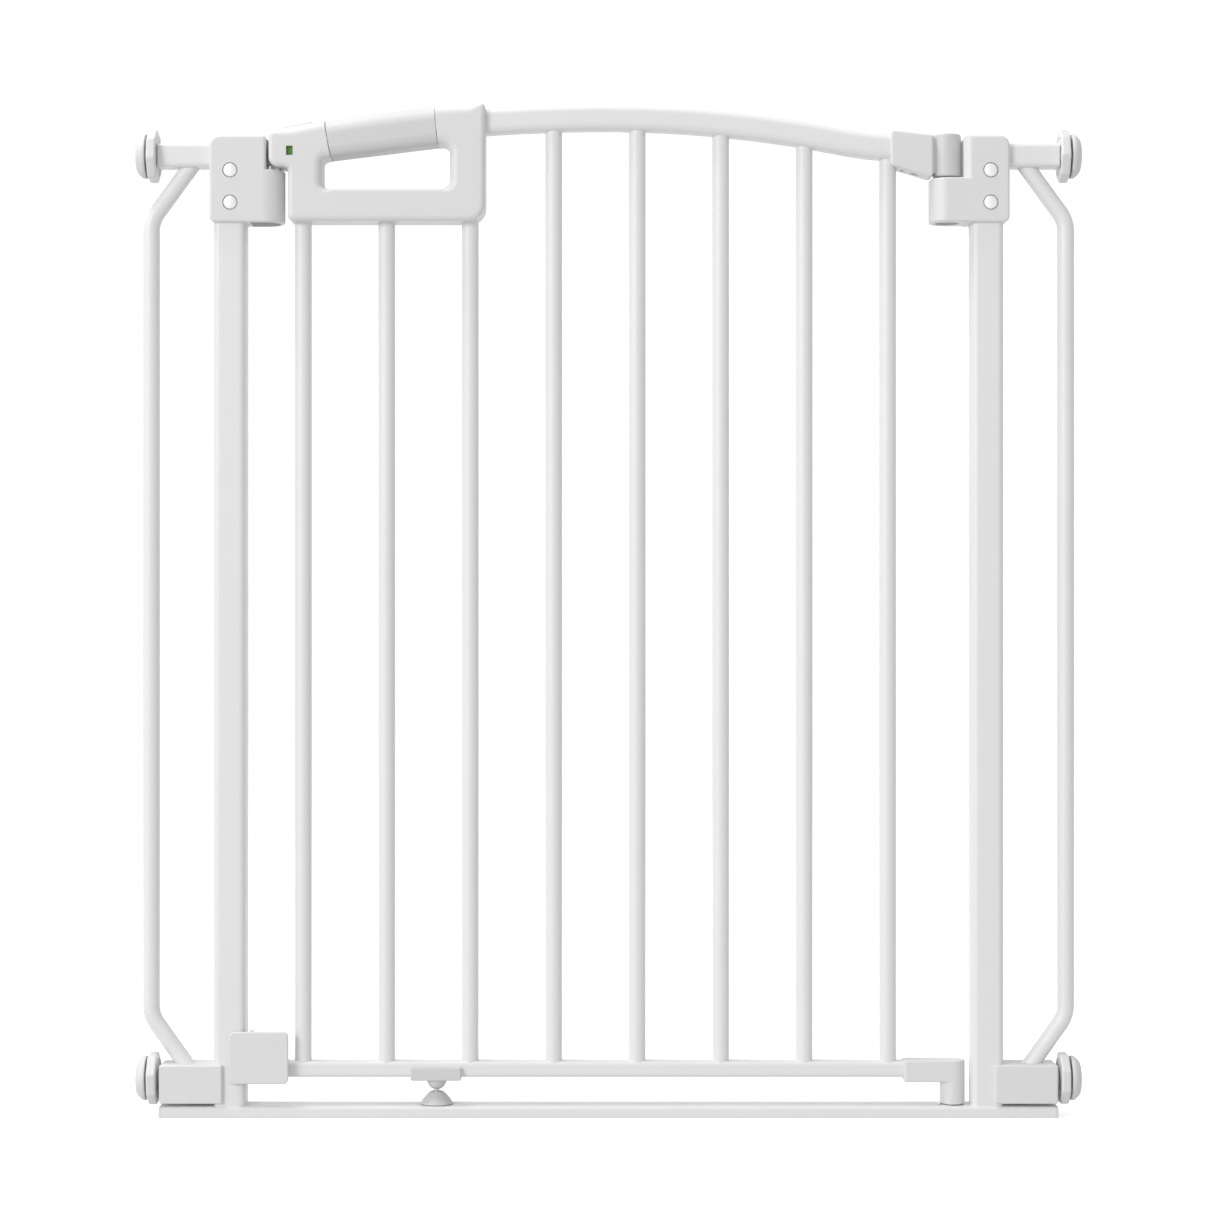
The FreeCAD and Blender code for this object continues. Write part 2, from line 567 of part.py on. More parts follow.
block2 = fillet_where(block2, 6.0, lambda e: (on_y(e, HND_D) or on_y(e, -HND_D)) and e.BoundBox.XMin > -215
                      and e.BoundBox.XMax < -117 and e.BoundBox.ZMax < 730 and e.BoundBox.ZMin > 690)
zone = prism([(seam_l[0][0] - 0.98, 750.8, 0), (seam_l[1][0] + 0.6, 712.0, 0), (seam_r[1][0] + 0.36, 722.4, 0),
              (seam_r[0][0] - 0.4, 761.0, 0)], -30, 30)
cav = prism([(-236.7, 671.5, 1.5), (-94.5, 671.5, 10.0), (-94.5, 753.6, 1.0), (-124.6, 752.4, 1.0), (-124.6, 731.0, 1.0),
             (-116.1, 731.0, 1.0), (-116.1, 690.0, 1.0), (-216.2, 690.0, 1.0), (-216.2, 740.8, 1.0),
             (-239.5, 736.4, 1.0), (-251.1, 732.9, 1.0), (-251.1, 712.0, 1.0), (-236.7, 712.0, 1.0)], -14.0, 14.0)
HS = [(-198.0, 681.0), (-135.0, 681.0), (-226.5, 700.0), (-105.0, 706.0)]
shell = block2.cut(zone).cut(cav)
for x, z in HS:
    shell = shell.fuse(cyl(4.2, (x, -14.5, z), (0, 1, 0), 29.0))
# tongue that sits in the pocket of the latch housing
tongue = box(-253.0, -246.1, -5.0, 5.0, 700.2, 712.2)
tongue = tongue.makeFillet(1.0, [e for e in tongue.Edges if on_z(e, 700.2)])
shell = shell.fuse(tongue)
shell = shell.cut(arch_o)
for i in range(3):
    shell = shell.cut(cyl(BAR_R, (BAR_X0 + BAR_PITCH * i, 0, 660), (0, 0, 1), 26.0))
shell = shell.cut(box(-256.0, -249.0, -4.35, 4.35, 712.1, 718.4))                 # bolt exit
shell = shell.cut(box(-240.2, -235.2, -20, -13, 717.7, 724.7))                    # indicator window
SL = V(math.cos(SLOPE), 0, math.sin(SLOPE))


def sloped(x0, x1, y0, y1, h0, h1):
    """Box laid along the sloping top of the handle; x along the slope from (-240, 739)."""
    b = Part.makeBox(x1 - x0, y1 - y0, h1 - h0, V(x0, y0, h0))
    b.rotate(V(0, 0, 0), V(0, 1, 0), -math.degrees(SLOPE))
    b.translate(V(-240.0, 0, 739.0))
    return b


shell = shell.cut(sloped(2.2, 15.2, -2.0, 2.0, -8, 4))                            # slider slot
for x, z in HS:
    shell = shell.cut(cyl(1.6, (x, -11.0, z), (0, 1, 0), 40))
    shell = shell.cut(cyl(3.7, (x, HND_D - 2.2, z), (0, 1, 0), 5))
fr = shell.common(front_half)
re_ = shell.common(rear_half)
fr = max(fr.Solids, key=lambda s: s.Volume)
re_ = max(re_.Solids, key=lambda s: s.Volume)
put("handle_front_shell", fr)
put("handle_rear_shell", re_)

grip = prism([(seam_l[0][0], seam_l[0][1], 0), (seam_l[1][0], seam_l[1][1], 0), (seam_r[1][0], seam_r[1][1], 0),
              (seam_r[0][0], seam_r[0][1], 0)], -16.2, 16.2)
grip = fillet_where(grip, 8.5, lambda e: (on_y(e, 16.2) or on_y(e, -16.2)) and e.BoundBox.XLength > 40)
grip = fillet_where(grip, 0.5, lambda e: e.BoundBox.XLength < 8.5 and e.BoundBox.ZLength > 5)
grip = grip.cut(arch_o)
put("grip_sleeve", grip)


def hscrew(x, z):
    s = cyl(1.6, (x, -11.0, z), (0, 1, 0), HND_D - 2.2 + 11.0)
    h = cyl(3.4, (x, HND_D - 2.2, z), (0, 1, 0), 1.9)
    h = fillet_where(h, 0.8, lambda e: on_y(e, HND_D - 0.3))
    h = h.cut(box(x - 2.2, x + 2.2, HND_D - 1.5, HND_D, z - 0.45, z + 0.45))
    h = h.cut(box(x - 0.45, x + 0.45, HND_D - 1.5, HND_D, z - 2.2, z + 2.2))
    return solid(s.fuse(h))


put("handle_screws", compound([hscrew(x, z) for x, z in HS]))

# thumb slider with its drive peg
sl = sloped(-3.6, 18.4, -7.0, 7.0, 0.35, 1.9)
sl = fillet_where(sl, 0.7, lambda e: e.Length > 0.1 and e.CenterOfMass.z > 739.0 + (e.CenterOfMass.x + 240) * math.tan(SLOPE) + 1.2)
for k in range(8):
    sl = sl.fuse(sloped(-0.6 + 2.2 * k, 0.3 + 2.2 * k, -5.0, 5.0, 1.5, 2.5))
peg = box(-236.6, -234.2, -1.6, 1.6, 721.5, 741.2)
sl = sl.fuse(peg)
put("thumb_slider", sl)

bolt = box(-262.5, -230.5, -4.0, 4.0, 712.5, 718.0)
bolt = fillet_where(bolt, 1.2, lambda e: abs(e.BoundBox.XMin + 262.5) < 1e-4 and abs(e.BoundBox.XMax + 262.5) < 1e-4)
bolt = bolt.fuse(box(-240.5, -230.5, -4.0, 4.0, 717.0, 728.0))
bolt = bolt.cut(box(-237.5, -233.5, -5.0, 5.0, 720.0, 730.0))
bolt = bolt.fuse(box(-248.7, -234.7, -12.4, -3.0, 714.5, 716.5))
put("latch_bolt", bolt)
put("indicator_green", box(-240.7, -232.4, -13.6, -12.4, 714.5, 726.5))
put("indicator_red", box(-249.0, -240.7, -13.6, -12.4, 714.5, 726.5))

# coil spring between the bolt and the handle wall
turns, wire = 5, 0.35
hl = 14.3 - 2 * wire
hel = Part.makeHelix(hl / turns, hl, 2.1)
prof = Part.Wire([Part.Circle(V(2.1, 0, 0), V(0, 1, 0), wire).toShape()])
spr = Part.Wire(hel.Edges).makePipeShell([prof], True, True)
spr.rotate(V(0, 0, 0), V(0, 1, 0), 90)
spr.translate(V(-230.5 + wire, 0, 715.2))
put("latch_spring", spr)

# ---------------------------------------------------------------------------
# upper hinge: sleeve with knuckle, square pin, screws
# ---------------------------------------------------------------------------
sv = prism([(210.5, 711.2, 1.5), (242.6, 701.5, 3.0), (242.6, 734.0, 2.0), (210.5, 737.6, 1.5)], -11.5, 11.5)
sv = edge_round(sv, 11.5, 3.0)
kn = cyl(10.3, (HINGE_X, 0, 703.0), (0, 0, 1), 32.2)
kn = fillet_where(kn, 2.0, lambda e: on_z(e, 703.0) or on_z(e, 735.2))
web = prism([(236.0, 705.6, 0), (HINGE_X, 705.6, 0), (HINGE_X, 732.6, 0), (236.0, 732.6, 0)], -6.5, 6.5)
sv = sv.fuse(kn).fuse(web)
sv = sv.cut(arch_o)
sv = sv.cut(cyl(BAR_R, (BAR_X0 + 7 * BAR_PITCH, 0, 690), (0, 0, 1), 30))
sv = sv.cut(box(HINGE_X - PIN_HALF, HINGE_X + PIN_HALF, -PIN_HALF, PIN_HALF, 700, 731))
for x in SCREW_X:
    sv = sv.cut(cyl(3.2, (x, 0, 695), (0, 0, 1), 16.0)).cut(cyl(1.9, (x, 0, 700), (0, 0, 1), 20))
put("upper_hinge_sleeve", max(sv.Solids, key=lambda s: s.Volume))
hp = box(HINGE_X - PIN_HALF, HINGE_X + PIN_HALF, -PIN_HALF, PIN_HALF, 672.0, 731.0)
hp = fillet_where(hp, 0.6, lambda e: on_z(e, 672.0))
put("upper_hinge_pin", hp)


def sscrew(x):
    s = cyl(1.9, (x, 0, 710.9), (0, 0, 1), 9.5)
    h = cyl(3.1, (x, 0, 709.0), (0, 0, 1), 2.0)
    h = h.cut(box(x - 2.2, x + 2.2, -0.45, 0.45, 708.0, 709.9)).cut(box(x - 0.45, x + 0.45, -2.2, 2.2, 708.0, 709.9))
    return solid(s.fuse(h))


put("sleeve_screws", compound([sscrew(x) for x in SCREW_X]))

# lower hinge: sleeve on the bottom rail with its leg
ls = prism([(220.8, -9.4, 2.0), (267.1, -9.4, 9.35), (267.1, 9.4, 9.35), (220.8, 9.4, 2.0)], 26.0, 42.2, "xy")
ls = fillet_where(ls, 1.2, lambda e: on_z(e, 42.2) or (on_z(e, 26.0) and e.BoundBox.XMax < 257))
leg = cyl(9.4, (267.1 - 9.4, 0, 9.2), (0, 0, 1), 18.0)
leg = fillet_where(leg, 0.8, lambda e: on_z(e, 9.2))
ls = ls.fuse(leg)
ls = ls.cut(rail_o).cut(cyl(3.06, (HINGE_X, 0, 5), (0, 0, 1), 29.5))
put("lower_hinge_sleeve", ls)

# catch plate with its block on the free end of the bottom rail
cp = prism(rrect(-283.1, -238.5, 25.5, 64.6, 4.0), -16.5, -13.5)
cp = fillet_where(cp, 1.0, lambda e: on_y(e, -16.5))
cb = prism(rrect(-268.0, -242.6, 26.2, 44.6, 2.5), -13.6, 9.5)
cb = fillet_where(cb, 1.5, lambda e: on_y(e, 9.5))
cp = cp.fuse(cb).fuse(prism(rrect(-268.0, -265.0, 30.0, 65.4, 1.0), -13.6, 2.0)).cut(rail_o)
put("catch_plate", cp)

# foot clip and adjusting foot
FOOT_X = -128.8
fc = prism(rrect(-148.0, -110.0, 27.3, 37.2, 2.0), -10.0, 10.0)
fc = edge_round(fc, 10.0, 1.5)
ball = Part.makeSphere(7.5, V(FOOT_X, 0, 27.0)).common(box(FOOT_X - 9, FOOT_X + 9, -9, 9, 15, 28.5))
fc = fc.fuse(ball).cut(rail_o).cut(cyl(2.15, (FOOT_X, 0, 15), (0, 0, 1), 12.0))
put("foot_clip", fc)
st = cyl(2.1, (FOOT_X, 0, 11.0), (0, 0, 1), 14.5)
put("foot_stud", st)
fo = Part.makeCone(12.3, 5.5, 18.1 - 10.0, V(FOOT_X, 0, 10.0), V(0, 0, 1)).fuse(
    cyl(12.3, (FOOT_X, 0, 8.8), (0, 0, 1), 1.2)).removeSplitter()
fo = fillet_where(fo, 0.6, lambda e: on_z(e, 8.8) or on_z(e, 18.1))
fo = fo.cut(cyl(2.15, (FOOT_X, 0, 10.5), (0, 0, 1), 10))
put("foot_cone", fo)

for name, shape in NODES.items():
    shape.exportStep("parts/" + name + ".step")
print(len(NODES), "nodes")
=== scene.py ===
import bpy, bmesh, json, math, random
from mathutils import Vector, Matrix


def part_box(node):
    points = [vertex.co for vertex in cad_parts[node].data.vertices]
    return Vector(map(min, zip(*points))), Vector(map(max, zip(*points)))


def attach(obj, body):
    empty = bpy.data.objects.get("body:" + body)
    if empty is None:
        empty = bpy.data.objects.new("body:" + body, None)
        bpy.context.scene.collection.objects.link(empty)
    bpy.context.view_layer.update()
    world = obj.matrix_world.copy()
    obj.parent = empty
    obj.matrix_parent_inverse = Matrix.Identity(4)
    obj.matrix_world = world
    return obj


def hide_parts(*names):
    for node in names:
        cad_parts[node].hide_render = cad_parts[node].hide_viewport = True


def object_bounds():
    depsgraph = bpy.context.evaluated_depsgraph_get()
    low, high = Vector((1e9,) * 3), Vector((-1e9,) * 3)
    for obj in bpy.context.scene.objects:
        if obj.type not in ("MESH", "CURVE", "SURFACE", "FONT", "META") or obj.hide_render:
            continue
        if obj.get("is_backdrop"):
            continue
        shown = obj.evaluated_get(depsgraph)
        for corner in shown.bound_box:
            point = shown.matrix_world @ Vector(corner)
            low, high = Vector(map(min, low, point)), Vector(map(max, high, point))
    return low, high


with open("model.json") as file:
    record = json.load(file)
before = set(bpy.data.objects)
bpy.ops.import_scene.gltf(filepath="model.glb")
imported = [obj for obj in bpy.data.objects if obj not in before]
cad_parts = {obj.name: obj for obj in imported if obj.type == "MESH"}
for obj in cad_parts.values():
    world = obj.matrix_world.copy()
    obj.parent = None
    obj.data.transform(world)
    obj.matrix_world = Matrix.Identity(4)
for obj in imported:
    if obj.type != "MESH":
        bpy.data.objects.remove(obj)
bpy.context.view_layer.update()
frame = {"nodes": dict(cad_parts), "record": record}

NODES = frame["nodes"]
MM = 0.001
scene = bpy.context.scene
scene.view_settings.view_transform = "Standard"

# ---------------------------------------------------------------------------
# camera: straight on, level, a little under half the gate's height
# ---------------------------------------------------------------------------
cam_data = bpy.data.cameras.new("camera")
cam_data.sensor_width = 36.0
cam_data.lens = 88.52
cam = bpy.data.objects.new("camera", cam_data)
cam.location = (0.0011, -2.25, 0.3789)
cam.rotation_euler = (math.radians(90.0), 0.0, 0.0)
scene.collection.objects.link(cam)
scene.camera = cam


# ---------------------------------------------------------------------------
# materials
# ---------------------------------------------------------------------------
class Mat:
    """A small wrapper that keeps node building short."""

    def __init__(self, name):
        self.m = bpy.data.materials.new(name)
        self.m.use_nodes = True
        self.nt = self.m.node_tree
        self.bsdf = self.nt.nodes.get("Principled BSDF")
        self.co = self.nt.nodes.new("ShaderNodeTexCoord")

    def node(self, kind, **kw):
        n = self.nt.nodes.new(kind)
        for k, v in kw.items():
            setattr(n, k, v)
        return n

    def link(self, a, b):
        self.nt.links.new(a, b)

    def noise(self, scale, detail=3.0, rough=0.5, stretch=None):
        n = self.node("ShaderNodeTexNoise")
        n.inputs["Scale"].default_value = scale
        n.inputs["Detail"].default_value = detail
        n.inputs["Roughness"].default_value = rough
        if stretch:
            mp = self.node("ShaderNodeMapping")
            mp.inputs["Scale"].default_value = stretch
            self.link(self.co.outputs["Object"], mp.inputs["Vector"])
            self.link(mp.outputs["Vector"], n.inputs["Vector"])
        else:
            self.link(self.co.outputs["Object"], n.inputs["Vector"])
        return n.outputs["Fac"]

    def ramp(self, fac, stops):
        r = self.node("ShaderNodeValToRGB")
        while len(r.color_ramp.elements) < len(stops):
            r.color_ramp.elements.new(0.5)
        for e, (p, c) in zip(r.color_ramp.elements, stops):
            e.position = p
            e.color = c if len(c) == 4 else (*c, 1.0)
        self.link(fac, r.inputs["Fac"])
        return r.outputs["Color"]

    def span(self, fac, lo, hi):
        n = self.node("ShaderNodeMapRange")
        n.inputs["From Min"].default_value = 0.3
        n.inputs["From Max"].default_value = 0.7
        n.inputs["To Min"].default_value = lo
        n.inputs["To Max"].default_value = hi
        self.link(fac, n.inputs["Value"])
        return n.outputs["Result"]

    def bump(self, fac, distance, strength=1.0, after=None):
        b = self.node("ShaderNodeBump")
        b.inputs["Distance"].default_value = distance
        b.inputs["Strength"].default_value = strength
        self.link(fac, b.inputs["Height"])
        if after is not None:
            self.link(after, b.inputs["Normal"])
        return b.outputs["Normal"]


def shade(c, k):
    return tuple(min(1.0, x * k) for x in c)


def surface(name, colour, rough, var, peel, fine, metallic=0.0, coat=0.0, dirt=0.0, spec=0.5):
    """Painted or moulded surface: cloudy colour, roughness breakup, two scales of bump."""
    m = Mat(name)
    cloud = m.noise(14.0, 5.0, 0.55)
    col = m.ramp(cloud, [(0.30, shade(colour, 1.0 - var)), (0.55, colour), (0.75, shade(colour, 1.0 + var * 0.6))])
    speck = m.noise(900.0, 2.0, 0.6)
    spk = m.ramp(speck, [(0.0, (1.0 - dirt,) * 3), (0.24, (1.0 - dirt * 0.5,) * 3), (0.36, (1.0, 1.0, 1.0))])
    mix = m.node("ShaderNodeMix", data_type="RGBA", blend_type="MULTIPLY")
    mix.inputs["Factor"].default_value = 1.0 if dirt > 0 else 0.0
    m.link(col, mix.inputs["A"])
    m.link(spk, mix.inputs["B"])
    m.link(mix.outputs["Result"], m.bsdf.inputs["Base Color"])
    m.link(m.span(m.noise(60.0, 4.0, 0.6), rough * 0.88, rough * 1.14), m.bsdf.inputs["Roughness"])
    nrm = m.bump(m.noise(peel[0], 2.0, 0.5), peel[1])
    nrm = m.bump(m.noise(fine[0], 2.0, 0.6), fine[1], after=nrm)
    m.link(nrm, m.bsdf.inputs["Normal"])
    m.bsdf.inputs["Metallic"].default_value = metallic
    m.bsdf.inputs["Coat Weight"].default_value = coat
    m.bsdf.inputs["Coat Roughness"].default_value = 0.2
    m.bsdf.inputs["Specular IOR Level"].default_value = spec
    return m.m


# foot cone: darker grey than the foot plastic, partly its own grey and partly painted shade for the gap under the clip
CONE_GREY_PAINTED_SHADE = surface("foot_cone_grey_painted_shade", (0.62, 0.62, 0.62), 0.44, 0.03, (260.0, 0.00003), (3000.0, 0.00002), dirt=0.05)
RIBS = surface("slider_ribs", (0.36, 0.36, 0.36), 0.55, 0.05, (500.0, 0.00002), (3000.0, 0.00002), dirt=0.04)
# a darker grey for the hinge knuckle than for the rest of its sleeve
KNUCKLE_DARKER_GREY = surface("knuckle_darker_grey", (0.64, 0.64, 0.64), 0.46, 0.012, (260.0, 0.00002), (3400.0, 0.000014), dirt=0.03)
MATS = {
    "white_powdercoat": surface("powdercoat", (0.81, 0.81, 0.81), 0.42, 0.010, (420.0, 0.00003), (2400.0, 0.000010), dirt=0.03),
    "white_plastic": surface("shell_plastic", (0.75, 0.75, 0.75), 0.46, 0.010, (260.0, 0.00002), (3400.0, 0.000014), dirt=0.025),
    "grip_rubber": surface("grip", (0.665, 0.665, 0.665), 0.60, 0.012, (700.0, 0.00002), (4200.0, 0.00003), dirt=0.04),
    "grey_plastic": surface("foot_plastic", (0.66, 0.66, 0.66), 0.46, 0.02, (300.0, 0.00002), (3000.0, 0.00002), dirt=0.04),
    "pad_rubber": surface("pad_rubber", (0.73, 0.73, 0.73), 0.62, 0.012, (500.0, 0.00003), (2600.0, 0.00003), dirt=0.04),
    "zinc_steel": surface("zinc", (0.62, 0.63, 0.65), 0.30, 0.08, (300.0, 0.00002), (3000.0, 0.00001), metallic=1.0),
    "rivet_steel": surface("rivet", (0.84, 0.84, 0.84), 0.48, 0.03, (900.0, 0.00006), (3000.0, 0.00002), metallic=0.35),
    "spring_steel": surface("spring", (0.42, 0.42, 0.44), 0.32, 0.05, (300.0, 0.00001), (3000.0, 0.00001), metallic=1.0),
    "indicator_green": surface("green_flag", (0.085, 0.235, 0.016), 0.40, 0.10, (300.0, 0.00002), (3000.0, 0.00001)),
    "indicator_red": surface("red_flag", (0.52, 0.02, 0.015), 0.40, 0.10, (300.0, 0.00002), (3000.0, 0.00001)),
    "bush_plastic": surface("bush", (0.66, 0.66, 0.66), 0.48, 0.03, (300.0, 0.00002), (3000.0, 0.00002)),
}
SLOT_OF = {s["node"]: s["material_slot"] for s in frame["record"]["subparts"]}
BODY_OF = {n: b for b, ns in frame["record"]["behaviour"]["bodies"].items() for n in ns}

for name, ob in NODES.items():
    ob.data.materials.clear()
    ob.data.materials.append(MATS[SLOT_OF[name]])


# ---------------------------------------------------------------------------
# mesh helpers: millimetres while building, metres when a piece is made
# ---------------------------------------------------------------------------
def rounded(pts, step=11.0, longest=None):
    """Sampled closed loop through (u, v, r) corners."""
    out = []
    n = len(pts)
    for i in range(n):
        ax, ay = pts[i - 1][:2]
        bx, by, r = pts[i]
        cx, cy = pts[(i + 1) % n][:2]
        if r <= 0:
            out.append((bx, by))
            continue
        ux, uy, vx, vy = ax - bx, ay - by, cx - bx, cy - by
        lu, lv = math.hypot(ux, uy), math.hypot(vx, vy)
        ux, uy, vx, vy = ux / lu, uy / lu, vx / lv, vy / lv
        ang = math.acos(max(-1.0, min(1.0, ux * vx + uy * vy)))
        t = r / math.tan(ang / 2)
        mx, my = ux + vx, uy + vy
        lm = math.hypot(mx, my)
        ox, oy = bx + mx / lm * r / math.sin(ang / 2), by + my / lm * r / math.sin(ang / 2)
        a0 = math.atan2(by + uy * t - oy, bx + ux * t - ox)
        a1 = math.atan2(by + vy * t - oy, bx + vx * t - ox)
        da = (a1 - a0 + math.pi) % (2 * math.pi) - math.pi
        k = max(2, math.ceil(abs(math.degrees(da)) / step))
        for j in range(k + 1):
            a = a0 + da * j / k
            out.append((ox + r * math.cos(a), oy + r * math.sin(a)))
    res = []
    for i, p in enumerate(out):
        q = out[(i + 1) % len(out)]
        d = math.hypot(q[0] - p[0], q[1] - p[1])
        if d < 1e-5:
            continue
        res.append(p)
        if longest and d > longest:
            k = math.ceil(d / longest)
            for j in range(1, k):
                res.append((p[0] + (q[0] - p[0]) * j / k, p[1] + (q[1] - p[1]) * j / k))
    return res


def rrect(a0, a1, b0, b1, r):
    return [(a0, b0, r), (a1, b0, r), (a1, b1, r), (a0, b1, r)]


def circle(u, v, r, n=40, cw=False):
    out = [(u + r * math.cos(2 * math.pi * i / n), v + r * math.sin(2 * math.pi * i / n)) for i in range(n)]
    return out[::-1] if cw else out


def place(plane, u, v, a):
    if plane == "xz":
        return (u, a, v)
    if plane == "yz":
        return (a, u, v)
    return (u, v, a)


def ring_offsets(loop, rf):
    """Per vertex: direction and radius data so a fillet of varying size can run round the loop."""
    n = len(loop)
    edges = []
    for i in range(n):
        p, q = loop[i], loop[(i + 1) % n]
        dx, dy = q[0] - p[0], q[1] - p[1]
        l = math.hypot(dx, dy) or 1.0
        nx, ny = -dy / l, dx / l
        mx, my = (p[0] + q[0]) / 2, (p[1] + q[1]) / 2
        edges.append((nx, ny, rf(mx, my, -nx, -ny) if callable(rf) else rf))
    return edges


def offset_loop(loop, edges, phi):
    out = []
    n = len(loop)
    k = 1.0 - math.cos(phi)
    for i in range(n):
        n1x, n1y, r1 = edges[i - 1]
        n2x, n2y, r2 = edges[i]
        dot = n1x * n2x + n1y * n2y
        if dot > 0.82:
            mx, my = n1x + n2x, n1y + n2y
            lm = math.hypot(mx, my)
            r = (r1 + r2) / 2
            d = r * k / (lm / 2)
            ox, oy = mx / lm * d, my / lm * d
        else:
            det = n1x * n2y - n1y * n2x
            d1, d2 = r1 * k, r2 * k
            ox = (d1 * n2y - d2 * n1y) / det
            oy = (n1x * d2 - n2x * d1) / det
            r = max(r1, r2)
        out.append((loop[i][0] + ox, loop[i][1] + oy, r * (1.0 - math.sin(phi))))
    return out


def slab(bm, loops, lo, hi, plane, r_lo=0.5, r_hi=0.5, seg=6, pits_lo=(), pits_hi=()):
    """Extruded outline with rounded rims.  loops[0] runs anticlockwise, holes run clockwise."""
    caps = {0: [], 1: []}
    for loop in loops:
        side = []
        for which, level, rf, sg in ((0, lo, r_lo, 1.0), (1, hi, r_hi, -1.0)):
            ed = ring_offsets(loop, rf)
            rows = []
            for k in range(seg + 1):
                phi = math.pi / 2 * k / seg
                pts = offset_loop(loop, ed, phi)
                rows.append([bm.verts.new(place(plane, u, v, level + sg * d)) for u, v, d in pts])
            for ra, rb in zip(rows[:-1], rows[1:]):
                for i in range(len(loop)):
                    j = (i + 1) % len(loop)
                    bm.faces.new((ra[i], ra[j], rb[j], rb[i]))
            side.append(rows)
            caps[which].append(rows[-1])
        a, b = side[0][0], side[1][0]
        for i in range(len(loop)):
            j = (i + 1) % len(loop)
            bm.faces.new((a[i], a[j], b[j], b[i]))
    for which, level, pits, sg in ((0, lo, pits_lo, 1.0), (1, hi, pits_hi, -1.0)):
        edges = []
        for row in caps[which]:
            for i in range(len(row)):
                p, q = row[i], row[(i + 1) % len(row)]
                edges.append(bm.edges.get((p, q)) or bm.edges.new((p, q)))
        for loop, depth in pits:
            top = [bm.verts.new(place(plane, u, v, level)) for u, v in loop]
            bot = [bm.verts.new(place(plane, u, v, level + sg * depth)) for u, v in loop]
            for i in range(len(loop)):
                j = (i + 1) % len(loop)
                bm.faces.new((top[i], top[j], bot[j], bot[i]))
                edges.append(bm.edges.get((top[i], top[j])))
            bm.faces.new(bot)
        bmesh.ops.triangle_fill(bm, use_beauty=True, use_dissolve=False, edges=edges)
    return bm


def box_bm(x0, x1, y0, y1, z0, z1, r=0.0, seg=3):
    bm = bmesh.new()
    bmesh.ops.create_cube(bm, size=1.0)
    for v in bm.verts:
        v.co = Vector(((x0 + x1) / 2 + v.co.x * (x1 - x0), (y0 + y1) / 2 + v.co.y * (y1 - y0), (z0 + z1) / 2 + v.co.z * (z1 - z0)))
    if r > 0:
        bmesh.ops.bevel(bm, geom=bm.edges[:], offset=r, segments=seg, profile=0.5, affect="EDGES")
    return bm


def lathe(bm, prof, c, axis="z", n=48):
    """Turn (r, h) points about an axis through c; h runs along the axis."""
    rows = []
    for r, h in prof:
        ring = []
        for i in range(n if r > 1e-6 else 1):
            a = 2 * math.pi * i / n
            p, q = r * math.cos(a), r * math.sin(a)
            if axis == "z":
                co = (c[0] + p, c[1] + q, c[2] + h)
            elif axis == "x":
                co = (c[0] + h, c[1] + p, c[2] + q)
            else:
                co = (c[0] + p, c[1] + h, c[2] + q)
            ring.append(bm.verts.new(co))
        rows.append(ring)
    for ra, rb in zip(rows[:-1], rows[1:]):
        for i in range(n):
            j = (i + 1) % n
            if len(ra) == 1 and len(rb) == 1:
                continue
            if len(ra) == 1:
                bm.faces.new((ra[0], rb[i], rb[j]))
            elif len(rb) == 1:
                bm.faces.new((ra[i], ra[j], rb[0]))
            else:
                bm.faces.new((ra[i], ra[j], rb[j], rb[i]))
    return bm


def tube(bm, path, rad, n=40, first=None):
    """Round tube along a path, ends closed."""
    P = [Vector(p) for p in path]
    T = []
    for i in range(len(P)):
        T.append((P[min(i + 1, len(P) - 1)] - P[max(i - 1, 0)]).normalized())
    up = first or (Vector((0, 1, 0)) if abs(T[0].y) < 0.9 else Vector((1, 0, 0)))
    rows = []
    for p, t in zip(P, T):
        up = (up - t * up.dot(t)).normalized()
        side = t.cross(up)
        rows.append([bm.verts.new(p + (up * math.cos(2 * math.pi * i / n) + side * math.sin(2 * math.pi * i / n)) * rad) for i in range(n)])
    for ra, rb in zip(rows[:-1], rows[1:]):
        for i in range(n):
            j = (i + 1) % n
            bm.faces.new((ra[i], ra[j], rb[j], rb[i]))
    bm.faces.new(rows[0])
    bm.faces.new(rows[-1])
    return bm


def loft(bm, rows, close_ends=True):
    R = [[bm.verts.new(p) for p in row] for row in rows]
    n = len(R[0])
    for ra, rb in zip(R[:-1], R[1:]):
        for i in range(n):
            j = (i + 1) % n
            bm.faces.new((ra[i], ra[j], rb[j], rb[i]))
    if close_ends:
        bm.faces.new(R[0])
        bm.faces.new(R[-1])
    return bm


def tidy(bm):
    bmesh.ops.remove_doubles(bm, verts=bm.verts[:], dist=2e-4)
    bmesh.ops.dissolve_degenerate(bm, edges=bm.edges[:], dist=1e-4)
    bmesh.ops.recalc_face_normals(bm, faces=bm.faces[:])
    return bm


def boolean(bm, others, op):
    """Combine closed meshes with Blender's exact solver and return a new bmesh."""
    def temp(b, nm):
        tidy(b)
        me = bpy.data.meshes.new(nm)
        b.to_mesh(me)
        o = bpy.data.objects.new(nm, me)
        scene.collection.objects.link(o)
        return o
    base = temp(bm, "tmp_base")
    extra = [temp(o, "tmp_cut") for o in others]
    for o in extra:
        m = base.modifiers.new("b", "BOOLEAN")
        m.operation = op
        m.solver = "EXACT"
        m.object = o
    dg = bpy.context.evaluated_depsgraph_get()
    dg.update()
    me = bpy.data.meshes.new_from_object(base.evaluated_get(dg))
    out = bmesh.new()
    out.from_mesh(me)
    for o in [base] + extra:
        old = o.data
        bpy.data.objects.remove(o, do_unlink=True)
        bpy.data.meshes.remove(old)
    bpy.data.meshes.remove(me)
    return out


